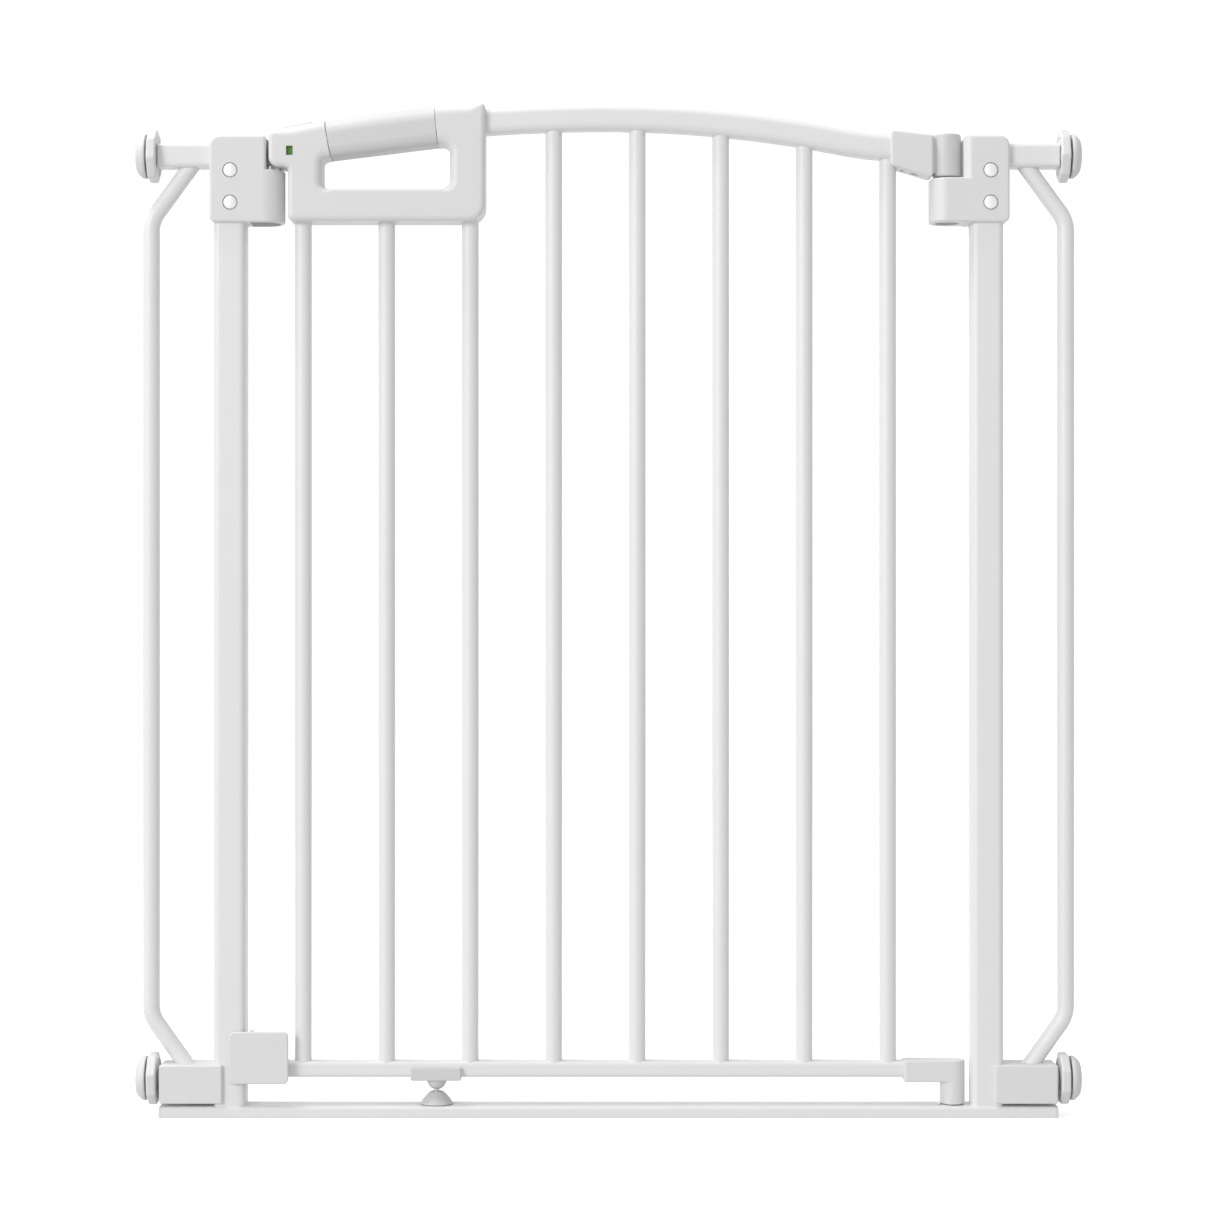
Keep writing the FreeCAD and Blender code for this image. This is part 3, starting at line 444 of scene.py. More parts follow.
def half(bm, front, gap=0.07):
    """Keep the front or rear half of a closed mesh, closed again at the parting plane."""
    src = bm.copy()
    big = box_bm(-500, 500, -60, -gap, -50, 900) if front else box_bm(-500, 500, gap, 60, -50, 900)
    return boolean(src, [big], "INTERSECT")


def mirrored(bm):
    out = bm.copy()
    for v in out.verts:
        v.co.x = -v.co.x
    bmesh.ops.reverse_faces(out, faces=out.faces[:])
    return out


PIECES = []


def piece(name, bm, nodes, slot=None, body=None, sharp=32.0, weighted=True, mat=None):
    tidy(bm)
    lim = math.radians(sharp)
    for e in bm.edges:
        e.smooth = not (len(e.link_faces) == 2 and e.calc_face_angle(0.0) > lim)
    for v in bm.verts:
        v.co *= MM
    for f in bm.faces:
        f.smooth = True
    me = bpy.data.meshes.new(name)
    bm.to_mesh(me)
    bm.free()
    ob = bpy.data.objects.new(name, me)
    scene.collection.objects.link(ob)
    slot = slot or SLOT_OF[nodes[0]]
    me.materials.append(mat or MATS[slot])
    if weighted:
        w = ob.modifiers.new("normals", "WEIGHTED_NORMAL")
        w.keep_sharp = True
        w.weight = 50
    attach(ob, body or BODY_OF[nodes[0]])
    if nodes:
        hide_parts(*nodes)
    PIECES.append(ob)
    return ob


def join_bm(*bms):
    out = bmesh.new()
    for b in bms:
        me = bpy.data.meshes.new("tmp")
        b.to_mesh(me)
        out.from_mesh(me)
        bpy.data.meshes.remove(me)
        b.free()
    return out


# ---------------------------------------------------------------------------
# frame: base rail with plugs, posts with weld fillets, arms, sockets, rods
# ---------------------------------------------------------------------------
def bx(node):
    lo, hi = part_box(node)
    return [v / MM for v in lo], [v / MM for v in hi]


(bl, bh) = bx("base_rail")
BASE_TOP = bh[2]
sec = rounded([(bl[1], 0.0, 1.0), (bh[1], 0.0, 1.0), (bh[1], BASE_TOP, 2.2), (bl[1], BASE_TOP, 2.2)], step=9)
bm = bmesh.new()
slab(bm, [sec], bl[0], bh[0], "yz", 0.03, 0.03, 1)
piece("base_rail_tube", bm, ["base_rail"])

(pl, ph) = bx("base_rail_end_plugs")
bm = bmesh.new()
slab(bm, [sec], bh[0] + 0.02, ph[0], "yz", 0.03, 0.8, 5)
bm2 = mirrored(bm)
piece("base_rail_plugs", join_bm(bm, bm2), ["base_rail_end_plugs"])


def skirt(bm, loop, z, w, h, seed):
    """Small concave weld fillet round a loop standing on a flat face at z."""
    rnd = random.Random(seed)
    ph1, ph2 = rnd.uniform(0, 6.3), rnd.uniform(0, 6.3)
    ed = ring_offsets(loop, 1.0)
    rows = []
    n = len(loop)
    for k in range(6):
        t = k / 5
        row = []
        for i in range(n):
            n1x, n1y, _ = ed[i - 1]
            n2x, n2y, _ = ed[i]
            mx, my = n1x + n2x, n1y + n2y
            lm = math.hypot(mx, my)
            s = i / n * 2 * math.pi
            wob = 1.0 + 0.10 * math.sin(9 * s + ph1) + 0.07 * math.sin(17 * s + ph2)
            d = w * wob * (1 - math.sin(t * math.pi / 2))
            hh = h * wob * (1 - math.cos(t * math.pi / 2))
            row.append((loop[i][0] - mx / lm * d, loop[i][1] - my / lm * d, z + hh))
        rows.append(row)
    rows.insert(0, [(x, y, z - 0.3) for x, y, _ in rows[0]])
    rows.append([(loop[i][0] + 0.5 * (ed[i][0]), loop[i][1] + 0.5 * (ed[i][1]), rows[-1][i][2]) for i in range(n)])
    loft(bm, rows)
    return bm


for side, sg in (("left", -1), ("right", 1)):
    lo, hi = bx(side + "_post")
    loop = rounded(rrect(lo[0], hi[0], lo[1], hi[1], 5.0), step=9, longest=5.0)
    bm = bmesh.new()
    slab(bm, [loop], BASE_TOP - 1.0, hi[2], "xy", 0.2, 0.6, 3)
    skirt(bm, loop, BASE_TOP, 0.4, 0.45, 11 + sg)
    piece(side + "_post_tube", bm, [side + "_post"])

    lo, hi = bx("upper_" + side + "_arm")
    inner, outer = (lo[0], hi[0]) if sg > 0 else (-hi[0], -lo[0])
    loop = rounded(rrect(lo[1], hi[1], lo[2], hi[2], 3.5), step=9)
    hole = rounded(rrect(lo[1] + 1.2, hi[1] - 1.2, lo[2] + 1.2, hi[2] - 1.2, 2.3), step=15)[::-1]
    bm = bmesh.new()
    slab(bm, [loop, hole], inner - 1.0, outer, "yz", 0.1, 0.35, 3)
    piece("upper_" + side + "_arm_tube", bm if sg > 0 else mirrored(bm), ["upper_" + side + "_arm"])

    lo, hi = bx(side + "_lower_socket")
    inner, outer = (lo[0], hi[0]) if sg > 0 else (-hi[0], -lo[0])
    zc = (lo[2] + hi[2]) / 2
    bm = bmesh.new()
    lathe(bm, [(6.8, inner - 1), (7.6, inner - 1), (8.0, inner), (8.0, outer - 0.4), (7.7, outer), (6.9, outer), (6.8, outer - 0.3), (6.8, inner - 1)], (0, 0, zc), "x", 56)
    piece(side + "_lower_socket_tube", bm if sg > 0 else mirrored(bm), [side + "_lower_socket"])


def rod_points():
    C = [(314.0 - 4.0, 710.0 + 5.6), (342.8, 670.7), (342.8, 74.9), (315.0 - 4.4, 36.0 - 6.2)]
    pts = []

    def straight(a, b, step):
        k = max(1, int(math.hypot(b[0] - a[0], b[1] - a[1]) / step))
        for j in range(k):
            pts.append((a[0] + (b[0] - a[0]) * j / k, 0.0, a[1] + (b[1] - a[1]) * j / k))
    prev = C[0]
    for i in (1, 2):
        a, b, c = C[i - 1], C[i], C[i + 1]
        ux, uz, vx, vz = a[0] - b[0], a[1] - b[1], c[0] - b[0], c[1] - b[1]
        lu, lv = math.hypot(ux, uz), math.hypot(vx, vz)
        ux, uz, vx, vz = ux / lu, uz / lu, vx / lv, vz / lv
        ang = math.acos(ux * vx + uz * vz)
        r = 24.0
        t = r / math.tan(ang / 2)
        mx, mz = ux + vx, uz + vz
        lm = math.hypot(mx, mz)
        ox, oz = b[0] + mx / lm * r / math.sin(ang / 2), b[1] + mz / lm * r / math.sin(ang / 2)
        p0, p1 = (b[0] + ux * t, b[1] + uz * t), (b[0] + vx * t, b[1] + vz * t)
        straight(prev, p0, 12.0 if i == 1 else 60.0)
        a0 = math.atan2(p0[1] - oz, p0[0] - ox)
        a1 = math.atan2(p1[1] - oz, p1[0] - ox)
        da = (a1 - a0 + math.pi) % (2 * math.pi) - math.pi
        for j in range(11):
            aa = a0 + da * j / 10
            pts.append((ox + r * math.cos(aa), 0.0, oz + r * math.sin(aa)))
        prev = p1
    straight(prev, C[3], 12.0)
    pts.append((C[3][0], 0.0, C[3][1]))
    return pts


for side, sg in (("left", -1), ("right", 1)):
    bm = bmesh.new()
    tube(bm, [(sg * x, y, z) for x, y, z in rod_points()], 6.35, 48)
    piece(side + "_rod", bm, [side + "_side_rod"])

# corner covers: soft-edged boxes
for side, sg in (("left", -1), ("right", 1)):
    lo, hi = bx(side + "_corner_cover")
    x0, x1 = (lo[0], hi[0]) if sg > 0 else (-hi[0], -lo[0])
    bm = bmesh.new()
    loop = rounded(rrect(x0, x1, lo[2], hi[2], 1.5), step=10, longest=9)
    slab(bm, [loop], lo[1], hi[1], "xz", 1.3, 1.3, 6)
    piece(side + "_cover", bm if sg > 0 else mirrored(bm), [side + "_corner_cover"])


# ---------------------------------------------------------------------------
# wheels, pads and spindles
# ---------------------------------------------------------------------------
TURN = {"upper_left": 11.0, "lower_left": 31.0, "upper_right": 4.0, "lower_right": 22.5}


def wheel_bm(turn, x0, x1, zc):
    oct_pts = rounded([(20.0 * math.cos(math.radians(turn + 45 * i)), 20.0 * math.sin(math.radians(turn + 45 * i)), 3.2) for i in range(8)], step=8, longest=3.2)
    ed = ring_offsets(oct_pts, 1.6)
    rows = []

    def circ(r, x):
        out = []
        for u, v in oct_pts:
            l = math.hypot(u, v)
            out.append((x, u / l * r, zc + v / l * r))
        return out

    def octr(phi, x, sgn, rr=1.6):
        pts = offset_loop(oct_pts, ed, phi)
        return [(x + sgn * d, u, zc + v) for u, v, d in pts]
    rows.append(circ(4.08, x0 + 2.0))
    rows.append(circ(4.08, x0 + 0.3))
    rows.append(circ(4.4, x0))
    rows.append(circ(8.6, x0))
    rows.append(circ(9.1, x0 + 0.3))
    rows.append(circ(9.5, x0 + 0.9))
    rows.append(circ(14.2, x0 + 0.9))
    rows.append(circ(14.7, x0 + 0.4))
    rows.append(circ(15.2, x0))
    for k in range(6, -1, -1):
        rows.append(octr(math.pi / 2 * k / 6, x0, 1))
    for k in range(0, 7):
        rows.append(octr(math.pi / 2 * k / 6, x1, -1))
    rows.append(circ(15.2, x1))
    rows.append(circ(14.6, x1 - 0.3))
    rows.append(circ(14.3, x1 - 1.1))
    rows.append(circ(13.6, x1 - 1.6))
    rows.append(circ(7.6, x1 - 1.6))
    rows.append(circ(7.1, x1 - 1.1))
    rows.append(circ(6.9, x1 - 0.3))
    rows.append(circ(6.4, x1))
    rows.append(circ(4.5, x1))
    rows.append(circ(4.08, x1 - 0.4))
    rows.append(circ(4.08, x0 + 2.0))
    bm = bmesh.new()
    loft(bm, rows, close_ends=False)
    return bm


PAD = [(0.0, 0.6), (3.6, 0.6), (4.0, 0.0), (15.6, 0.0), (16.3, 0.12), (16.62, 0.45), (16.7, 0.9), (16.68, 1.6), (16.55, 2.3), (16.2, 3.1),
       (15.6, 3.95), (14.8, 4.9), (13.9, 5.8), (13.0, 6.5), (12.3, 6.95), (11.6, 7.25), (10.8, 7.45), (10.2, 7.5), (9.9, 7.5),
       (9.6, 7.42), (9.3, 7.1), (9.0, 7.02), (8.7, 7.1), (8.4, 7.42), (8.1, 7.5), (7.5, 7.5), (7.2, 7.42), (6.9, 7.1), (6.6, 7.02),
       (6.3, 7.1), (6.0, 7.42), (5.7, 7.5), (5.1, 7.5), (4.8, 7.42), (4.5, 7.1), (4.2, 7.02), (3.9, 7.1), (3.6, 7.42), (3.3, 7.5), (0.0, 7.5)]


def spindle_bm(x0, x1, zc):
    """Threaded rod, 3 mm trapezoid pitch, with its key flat underneath."""
    bm = bmesh.new()
    n, pitch, dx = 36, 3.0, 0.25
    rows = []
    k = int(round((x1 - x0) / dx))
    for i in range(k + 1):
        x = x0 + (x1 - x0) * i / k
        row = []
        fade = min(1.0, (x1 - x) / 1.0, (x - x0) / 0.8)
        for j in range(n):
            a = 2 * math.pi * j / n
            t = (x / pitch - a / (2 * math.pi)) % 1.0
            f = 1.0 if t < 0.36 else (0.0 if 0.5 < t < 0.86 else ((0.5 - t) / 0.14 if t <= 0.5 else (t - 0.86) / 0.14))
            r = 3.42 + 0.56 * max(0.0, min(1.0, f)) * max(0.0, fade) if fade < 1.0 else 3.42 + 0.56 * f
            y, z = r * math.cos(a), r * math.sin(a)
            z = max(z, -3.28)
            row.append((x, y, zc + z))
        rows.append(row)
    loft(bm, rows)
    return bm


for corner in TURN:
    sg = 1 if "right" in corner else -1
    lo, hi = bx(corner + "_wheel")
    x0, x1 = (lo[0], hi[0]) if sg > 0 else (-hi[0], -lo[0])
    zc = (bx(corner + "_pad")[0][2] + bx(corner + "_pad")[1][2]) / 2
    bm = wheel_bm(TURN[corner], x0, x1, zc)
    piece(corner + "_handwheel", bm if sg > 0 else mirrored(bm), [corner + "_wheel"], sharp=26)
    lo, hi = bx(corner + "_pad")
    p0 = lo[0] if sg > 0 else -hi[0]
    bm = bmesh.new()
    lathe(bm, PAD, (p0, 0, zc), "x", 72)
    piece(corner + "_wall_pad", bm if sg > 0 else mirrored(bm), [corner + "_pad"], sharp=50)
    lo, hi = bx(corner + "_spindle")
    s0, s1 = (lo[0], hi[0]) if sg > 0 else (-hi[0], -lo[0])
    bm = spindle_bm(s0, s1 - 3.8, zc)
    piece(corner + "_screw", bm if sg > 0 else mirrored(bm), [corner + "_spindle"], sharp=60, weighted=False)


# ---------------------------------------------------------------------------
# housings: moulded shells, front and rear, with rivet recesses
# ---------------------------------------------------------------------------
def rivet_cut(x, z):
    b = bmesh.new()
    lathe(b, [(0, -20), (5.62, -20), (5.62, -13.5), (0, -13.5)], (x, 0, z), "y", 48)
    c = bmesh.new()
    lathe(c, [(0, 13.5), (5.62, 13.5), (5.62, 20), (0, 20)], (x, 0, z), "y", 48)
    return [b, c]


RX = (-282.0, 284.8)
RZ = (706.7, 682.7)

lo, hi = bx("latch_housing_front")
D = -lo[1]
X0, X1, Z0, Z1 = lo[0], -255.5, lo[2], hi[2]
block = bmesh.new()
slab(block, [rounded([(X0, Z0, 4.5), (X1, Z0, 2.2), (X1, Z1, 2.5), (X0, Z1, 7.5)], step=9, longest=8)], -D, D, "xz", 2.1, 2.1, 7)
boss = bmesh.new()
prof = rounded([(-276.0, -D, 0), (-242.4, -D, 15.9), (-242.4, D, 15.9), (-276.0, D, 0)], step=5)
slab(boss, [prof], Z0, 707.5, "xy", lambda u, v, a, b: 0.0 if u < -275.9 else 1.6, lambda u, v, a, b: 0.0 if u < -275.9 else 1.6, 6)
hous = boolean(block, [boss], "UNION")
cuts = []
hol = bmesh.new()
slab(hol, [rounded([(-267.7, -13, 1.5), (-245.4, -13, 12.8), (-245.4, 13, 12.8), (-267.7, 13, 1.5)], step=8)], Z0 - 4, 704.5, "xy", 0.0, 1.0, 3)
cuts.append(hol)
cuts.append(box_bm(-253.9, -245.3, -5.8, 5.8, 700.0, 712.0))
cuts.append(box_bm(-265.0, -250.0, -4.6, 4.6, 711.8, 730.9))
for z in RZ:
    cuts += rivet_cut(RX[0], z)
hous = boolean(hous, cuts, "DIFFERENCE")
piece("latch_shell_front", half(hous, True), ["latch_housing_front"], sharp=28)
piece("latch_shell_rear", half(hous, False), ["latch_housing_rear"], sharp=28)

lo, hi = bx("hinge_housing_front")
X0, X1 = 265.1, hi[0]
block = bmesh.new()
slab(block, [rounded([(X0, Z0, 2.2), (X1, Z0, 4.5), (X1, Z1, 7.5), (X0, Z1, 2.8)], step=9, longest=8)], -D, D, "xz", 2.1, 2.1, 7)
tidy(block)
R6 = 6.5
for k in range(1, 10):
    x = X0 + R6 * (1 - math.cos(math.pi / 2 * k / 9))
    geom = block.verts[:] + block.edges[:] + block.faces[:]
    bmesh.ops.bisect_plane(block, geom=geom, dist=1e-5, plane_co=(x, 0, 0), plane_no=(1, 0, 0))
for v in block.verts:
    if v.co.x < X0 + R6:
        t = R6 - (v.co.x - X0)
        lim = D - R6 + math.sqrt(max(0.0, R6 * R6 - t * t))
        v.co.y = max(-lim, min(lim, v.co.y))
boss = bmesh.new()
hx = 253.5
prof = rounded([(276.0, -D, 0), (276.0, D, 0), (hx - 13.2, D, 13.2), (hx - 13.2, -D, 13.2)], step=6)
slab(boss, [prof], 668.5, 701.4, "xy", lambda u, v, a, b: 0.0 if u > 275.9 else 1.4, lambda u, v, a, b: 0.0 if u > 275.9 else 1.4, 6)
hous = boolean(block, [boss], "UNION")
cuts = []
for r, z0, z1 in ((9.26, 660.0, 697.3), (7.41, 696.0, 706.0)):
    c = bmesh.new()
    lathe(c, [(0, z0), (r, z0), (r, z1), (0, z1)], (hx, 0, 0), "z", 56)
    cuts.append(c)
for z in RZ:
    cuts += rivet_cut(RX[1], z)
hous = boolean(hous, cuts, "DIFFERENCE")
piece("hinge_shell_front", half(hous, True), ["hinge_housing_front"], sharp=28)
piece("hinge_shell_rear", half(hous, False), ["hinge_housing_rear"], sharp=28)

bm = bmesh.new()
dome = [(0.0, -17.2), (1.6, -17.16), (2.8, -16.98), (3.7, -16.68), (4.35, -16.34), (4.8, -15.98), (5.05, -15.6), (5.12, -15.2), (5.12, -13.9), (4.9, -13.6), (2.5, -13.5)]
for x in RX:
    for z in RZ:
        prof = dome + [(2.5, 13.5)] + [(r, -h) for r, h in dome[::-1][1:]]
        lathe(bm, prof, (x, 0, z), "y", 48)
piece("housing_rivet_set", bm, ["housing_rivets"], sharp=60)


# ---------------------------------------------------------------------------
# leaf: rails and bars
# ---------------------------------------------------------------------------
lo, hi = bx("bottom_rail")
bm = bmesh.new()
slab(bm, [rounded(rrect(lo[1], hi[1], lo[2], hi[2], 3.0), step=9)], lo[0], hi[0], "yz", 0.3, 0.3, 3)
piece("bottom_rail_tube", bm, ["bottom_rail"])


def arch_top(x):
    peak, top, rl, rr, xt, r2 = -3.0, 757.05, 1250.0, 900.0, 172.0, 264.0
    if x <= peak:
        return top - rl + math.sqrt(rl ** 2 - (x - peak) ** 2)
    if x <= xt:
        return top - rr + math.sqrt(rr ** 2 - (x - peak) ** 2)
    s0 = math.asin((xt - peak) / rr)
    z0 = top - rr + rr * math.cos(s0)
    cx, cz = xt + r2 * math.sin(s0), z0 + r2 * math.cos(s0)
    xe = cx - r2 * math.sin(0.05)
    if x <= xe:
        return cz - math.sqrt(r2 ** 2 - (cx - x) ** 2)
    return cz - r2 * math.cos(0.05) - (x - xe) * math.tan(0.05)


sec = rounded(rrect(-10.0, 10.0, -19.2, 0.0, 5.5), step=8)
rows = []
lo, hi = bx("arch_rail")
k = 110
for i in range(k + 1):
    x = lo[0] + 0.2 + (hi[0] - lo[0] - 0.4) * i / k
    z = arch_top(x)
    rows.append([(x, y, z + h) for y, h in sec])
bm = bmesh.new()
loft(bm, rows)
piece("arch_rail_tube", bm, ["arch_rail"])

for i in range(1, 9):
    lo, hi = bx("bar_%d" % i)
    xc = (lo[0] + hi[0]) / 2
    top = hi[2] if i < 4 else arch_top(xc) - 19.2 + 5.0
    bm = bmesh.new()
    tube(bm, [(xc, 0, 37.0), (xc, 0, top)], (hi[0] - lo[0]) / 2, 56)
    piece("bar_%d_tube" % i, bm, ["bar_%d" % i])


# ---------------------------------------------------------------------------
# handle: two shells with a soft grip between their seams
# ---------------------------------------------------------------------------
outline = rounded([(-239.2, 669.0, 4.2), (-92.0, 669.0, 12.5), (-92.0, 757.0, 3.4), (-127.0, 755.5, 120.0),
                   (-156.0, 752.6, 120.0), (-184.0, 748.8, 120.0), (-212.0, 744.5, 120.0), (-240.0, 739.0, 60.0),
                   (-253.6, 735.2, 4.2), (-253.6, 709.5, 7.0), (-239.2, 709.5, 1.2)], step=9, longest=3.0)
opening = rounded([(-213.7, 692.5, 6.5), (-118.6, 692.5, 8.0), (-118.6, 727.2, 6.0), (-213.7, 715.6, 4.0)], step=9, longest=3.0)
HY = 16.5


def seam_x(z, right):
    if right:
        return -127.14 + (z - 722.4) * (-130.7 + 127.14) / (761.0 - 722.4)
    return -206.4 + (z - 712.0) * (-213.28 + 206.4) / (750.8 - 712.0)


keep_out = [p for p in outline if not (p[1] > 735 and seam_x(p[1], False) - 0.2 < p[0] < seam_x(p[1], True) + 0.2)]
# the loop must start just left of the left seam on top, run round the left, bottom and right
start = max(range(len(keep_out)), key=lambda i: keep_out[i][0] if (keep_out[i][1] > 735 and keep_out[i][0] < -205) else -1e9)
outer_run = keep_out[start:] + keep_out[:start]
top_z = lambda x: next(a[1] + (b[1] - a[1]) * (x - a[0]) / (b[0] - a[0]) for a, b in zip(outline, outline[1:] + outline[:1])
                       if a[1] > 733 and b[1] > 733 and min(a[0], b[0]) <= x <= max(a[0], b[0]) and abs(a[0] - b[0]) > 1e-6)
zl = top_z(-212.3)
zr = top_z(-130.3)
pl_top, pr_top = (seam_x(zl, False) - 0.12, zl), (seam_x(zr, True) + 0.12, zr)
low = lambda x: 715.6 + (x + 213.7) * (727.2 - 715.6) / (213.7 - 118.6)
xl = seam_x(716.4, False) - 0.12
xr = seam_x(726.1, True) + 0.12
inner_run = [p for p in opening if not (p[1] > low(p[0]) - 0.05 and xl < p[0] < xr)]
# opening runs anticlockwise; as the inner side of the C it is walked clockwise, from the right seam to the left seam
inner_cw = inner_run[::-1]
s2 = min(range(len(inner_cw)), key=lambda i: math.hypot(inner_cw[i][0] - xr, inner_cw[i][1] - low(xr)))
inner_cw = inner_cw[s2:] + inner_cw[:s2]
c_loop = [pl_top] + outer_run + [pr_top, (xr, low(xr))] + inner_cw + [(xl, low(xl))]
res = []
for i, p in enumerate(c_loop):
    q = c_loop[(i + 1) % len(c_loop)]
    d = math.hypot(q[0] - p[0], q[1] - p[1])
    if d < 0.25:
        continue
    res.append(p)
    kk = math.ceil(d / 3.2)
    for j in range(1, kk):
        if d > 18.0 and not 0.36 < j / kk < 0.64:
            continue                      # keep the seam ends clear of the wide rim rounding
        res.append((p[0] + (q[0] - p[0]) * j / kk, p[1] + (q[1] - p[1]) * j / kk))
c_loop = res


def hand_r(u, v, nu, nv):
    """Rim radius round the handle outline: soft on top, wide round the opening, crisp at the seams."""
    if abs(nu) > 0.8 and abs(u - seam_x(v, False)) < 0.6 and v > 715.0:
        return 0.35
    if abs(nu) > 0.8 and abs(u - seam_x(v, True)) < 0.6 and v > 725.0:
        return 0.35
    if -215 < u < -117 and 690 < v < 730:
        if v < 700:
            return 2.0 + 4.8 * min(1.0, abs(nu) * 1.15)
        return 6.8
    r = 4.0
    if v > 736 and nv > 0.6:
        r = 4.0 + 4.0 * min(1.0, max(0.0, (u + 252) / 14)) * min(1.0, max(0.0, (-97 - u) / 8))
    if u < -248 and 709 < v:
        r = 3.6
    if u > -97 and v > 748:
        r = 3.2
    return r


window = rounded(rrect(-240.2, -235.2, 717.7, 724.7, 0.6), step=20)
HS = [(-198.0, 681.0), (-135.0, 681.0), (-226.5, 700.0), (-105.0, 706.0)]
for nm, node, y0, y1 in (("handle_front", "handle_front_shell", -HY, -0.08), ("handle_rear", "handle_rear_shell", 0.08, HY)):
    front = y0 < -1
    bm = bmesh.new()
    slab(bm, [c_loop], y0, y1, "xz", hand_r if front else 0.12, 0.12 if front else hand_r, 8,
         pits_lo=[(window, 4.4)] if front else (), pits_hi=() if front else [(circle(x, z, 3.75, 32), 2.3) for x, z in HS])
    t = box_bm(-253.0, -246.1, -5.0, -0.08, 700.2, 712.2, 0.8) if front else box_bm(-253.0, -246.1, 0.08, 5.0, 700.2, 712.2, 0.8)
    # room inside for the bolt and its spring, and for the two flags behind the window
    room = [box_bm(-257.0, -215.9, -5.3, 1.0, 711.4, 731.6) if front else box_bm(-257.0, -215.9, -1.0, 5.3, 711.4, 731.6)]
    if front:
        room.append(box_bm(-250.6, -223.4, -14.2, -4.0, 713.4, 727.8))
    bm = boolean(bm, room, "DIFFERENCE")
    piece(nm, join_bm(bm, t), [node], sharp=28)

# soft grip: sections set across the handle, leaning with the two seams
lower_ends = ((seam_x(716.3, False) + 0.12, 716.45), (seam_x(726.1, True) - 0.12, 726.25))
upper_ends = (seam_x(zl, False) + 0.12, seam_x(zr, True) - 0.12)
rows = []
STN = 48
for i in range(-1, STN + 2):
    t = min(max(i, 0), STN) / STN
    e = 0.3 if i in (-1, STN + 1) else 0.0
    if i in (0, STN):
        t = 0.004 if i == 0 else 0.996
    xb = lower_ends[0][0] + (lower_ends[1][0] - lower_ends[0][0]) * t
    zb = lower_ends[0][1] + (lower_ends[1][1] - lower_ends[0][1]) * t
    xt = upper_ends[0] + (upper_ends[1] - upper_ends[0]) * t
    zt = top_z(xt) - 0.1
    H = math.hypot(xt - xb, zt - zb)
    ux, uz = (xt - xb) / H, (zt - zb) / H
    row = []
    for y, h in rounded([(-16.3, e, 8.5 - e), (16.3, e, 8.5 - e), (16.3, H - e, 11.5 - e), (-16.3, H - e, 11.5 - e)], step=7.5):
        y = max(-16.3 + e, min(16.3 - e, y))
        row.append((xb + ux * h, y, zb + uz * h))
    rows.append(row)
bm = bmesh.new()
loft(bm, rows)
tidy(bm)
piece("soft_grip", bm, ["grip_sleeve"], sharp=28)

# thumb slider
AL = math.atan2(5.5, 28.0)


def on_slope(bm):
    for v in bm.verts:
        x, y, h = v.co
        v.co = Vector((-240.0 + x * math.cos(AL) - h * math.sin(AL), y, 739.0 + x * math.sin(AL) + h * math.cos(AL)))
    return bm


bm = bmesh.new()
slab(bm, [rounded(rrect(-3.6, 18.4, -7.0, 7.0, 2.4), step=12)], 0.35, 1.9, "xy", 0.1, 0.8, 4)
ribs = [bm]
for k in range(8):
    b = bmesh.new()
    slab(b, [rounded(rrect(-0.6 + 2.2 * k, 0.3 + 2.2 * k, -5.0, 5.0, 0.42), step=30)], 1.5, 2.5, "xy", 0.0, 0.3, 3)
    for f in b.faces:
        f.material_index = 1
    ribs.append(b)
bm = on_slope(join_bm(*ribs))
bm = join_bm(bm, box_bm(-236.6, -234.2, -1.6, 1.6, 721.5, 740.6, 0.3))
ob = piece("thumb_slide_button", bm, ["thumb_slider"], sharp=35)
ob.data.materials.append(RIBS)

# the bolt spring deforms with the bolt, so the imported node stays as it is

# upper hinge sleeve: sloping block with the knuckle close beside it
HX = 253.5
block = bmesh.new()
slab(block, [rounded([(210.5, 711.2, 2.4), (242.6, 701.5, 2.8), (242.6, 734.0, 2.4), (210.5, 737.6, 2.4)], step=9, longest=6)], -11.5, 11.5, "xz", 1.9, 1.9, 6)
kn = bmesh.new()
lathe(kn, [(0, 703.0), (9.0, 703.0), (10.0, 703.25), (10.65, 703.9), (10.9, 704.9), (10.9, 733.0), (10.7, 734.1), (10.0, 734.95), (9.0, 735.2), (0, 735.2)], (HX, 0, 0), "z", 72)
sleeve = boolean(block, [kn, box_bm(236.0, HX, -6.5, 6.5, 705.6, 732.6, 0.4)], "UNION")
cuts = []
for x in (219.4, 229.6):
    c = bmesh.new()
    lathe(c, [(0, 695), (3.3, 695), (3.3, 711.0), (0, 711.0)], (x, 0, 0), "z", 40)
    cuts.append(c)
cuts.append(box_bm(HX - 4.55, HX + 4.55, -4.55, 4.55, 700.0, 731.0))
c = bmesh.new()
lathe(c, [(0, 690), (6.5, 690), (6.5, 716.0), (0, 716.0)], (209.3, 0, 0), "z", 40)
cuts.append(c)
sleeve = boolean(sleeve, cuts, "DIFFERENCE")
# the knuckle faces take a darker grey than the rest of the sleeve
for f in sleeve.faces:
    c = f.calc_center_median()
    f.material_index = 1 if math.hypot(c.x - HX, c.y) < 10.96 and c.x > 242.7 else 0
ob = piece("hinge_sleeve_upper", sleeve, ["upper_hinge_sleeve"], sharp=28)
ob.data.materials.append(KNUCKLE_DARKER_GREY)

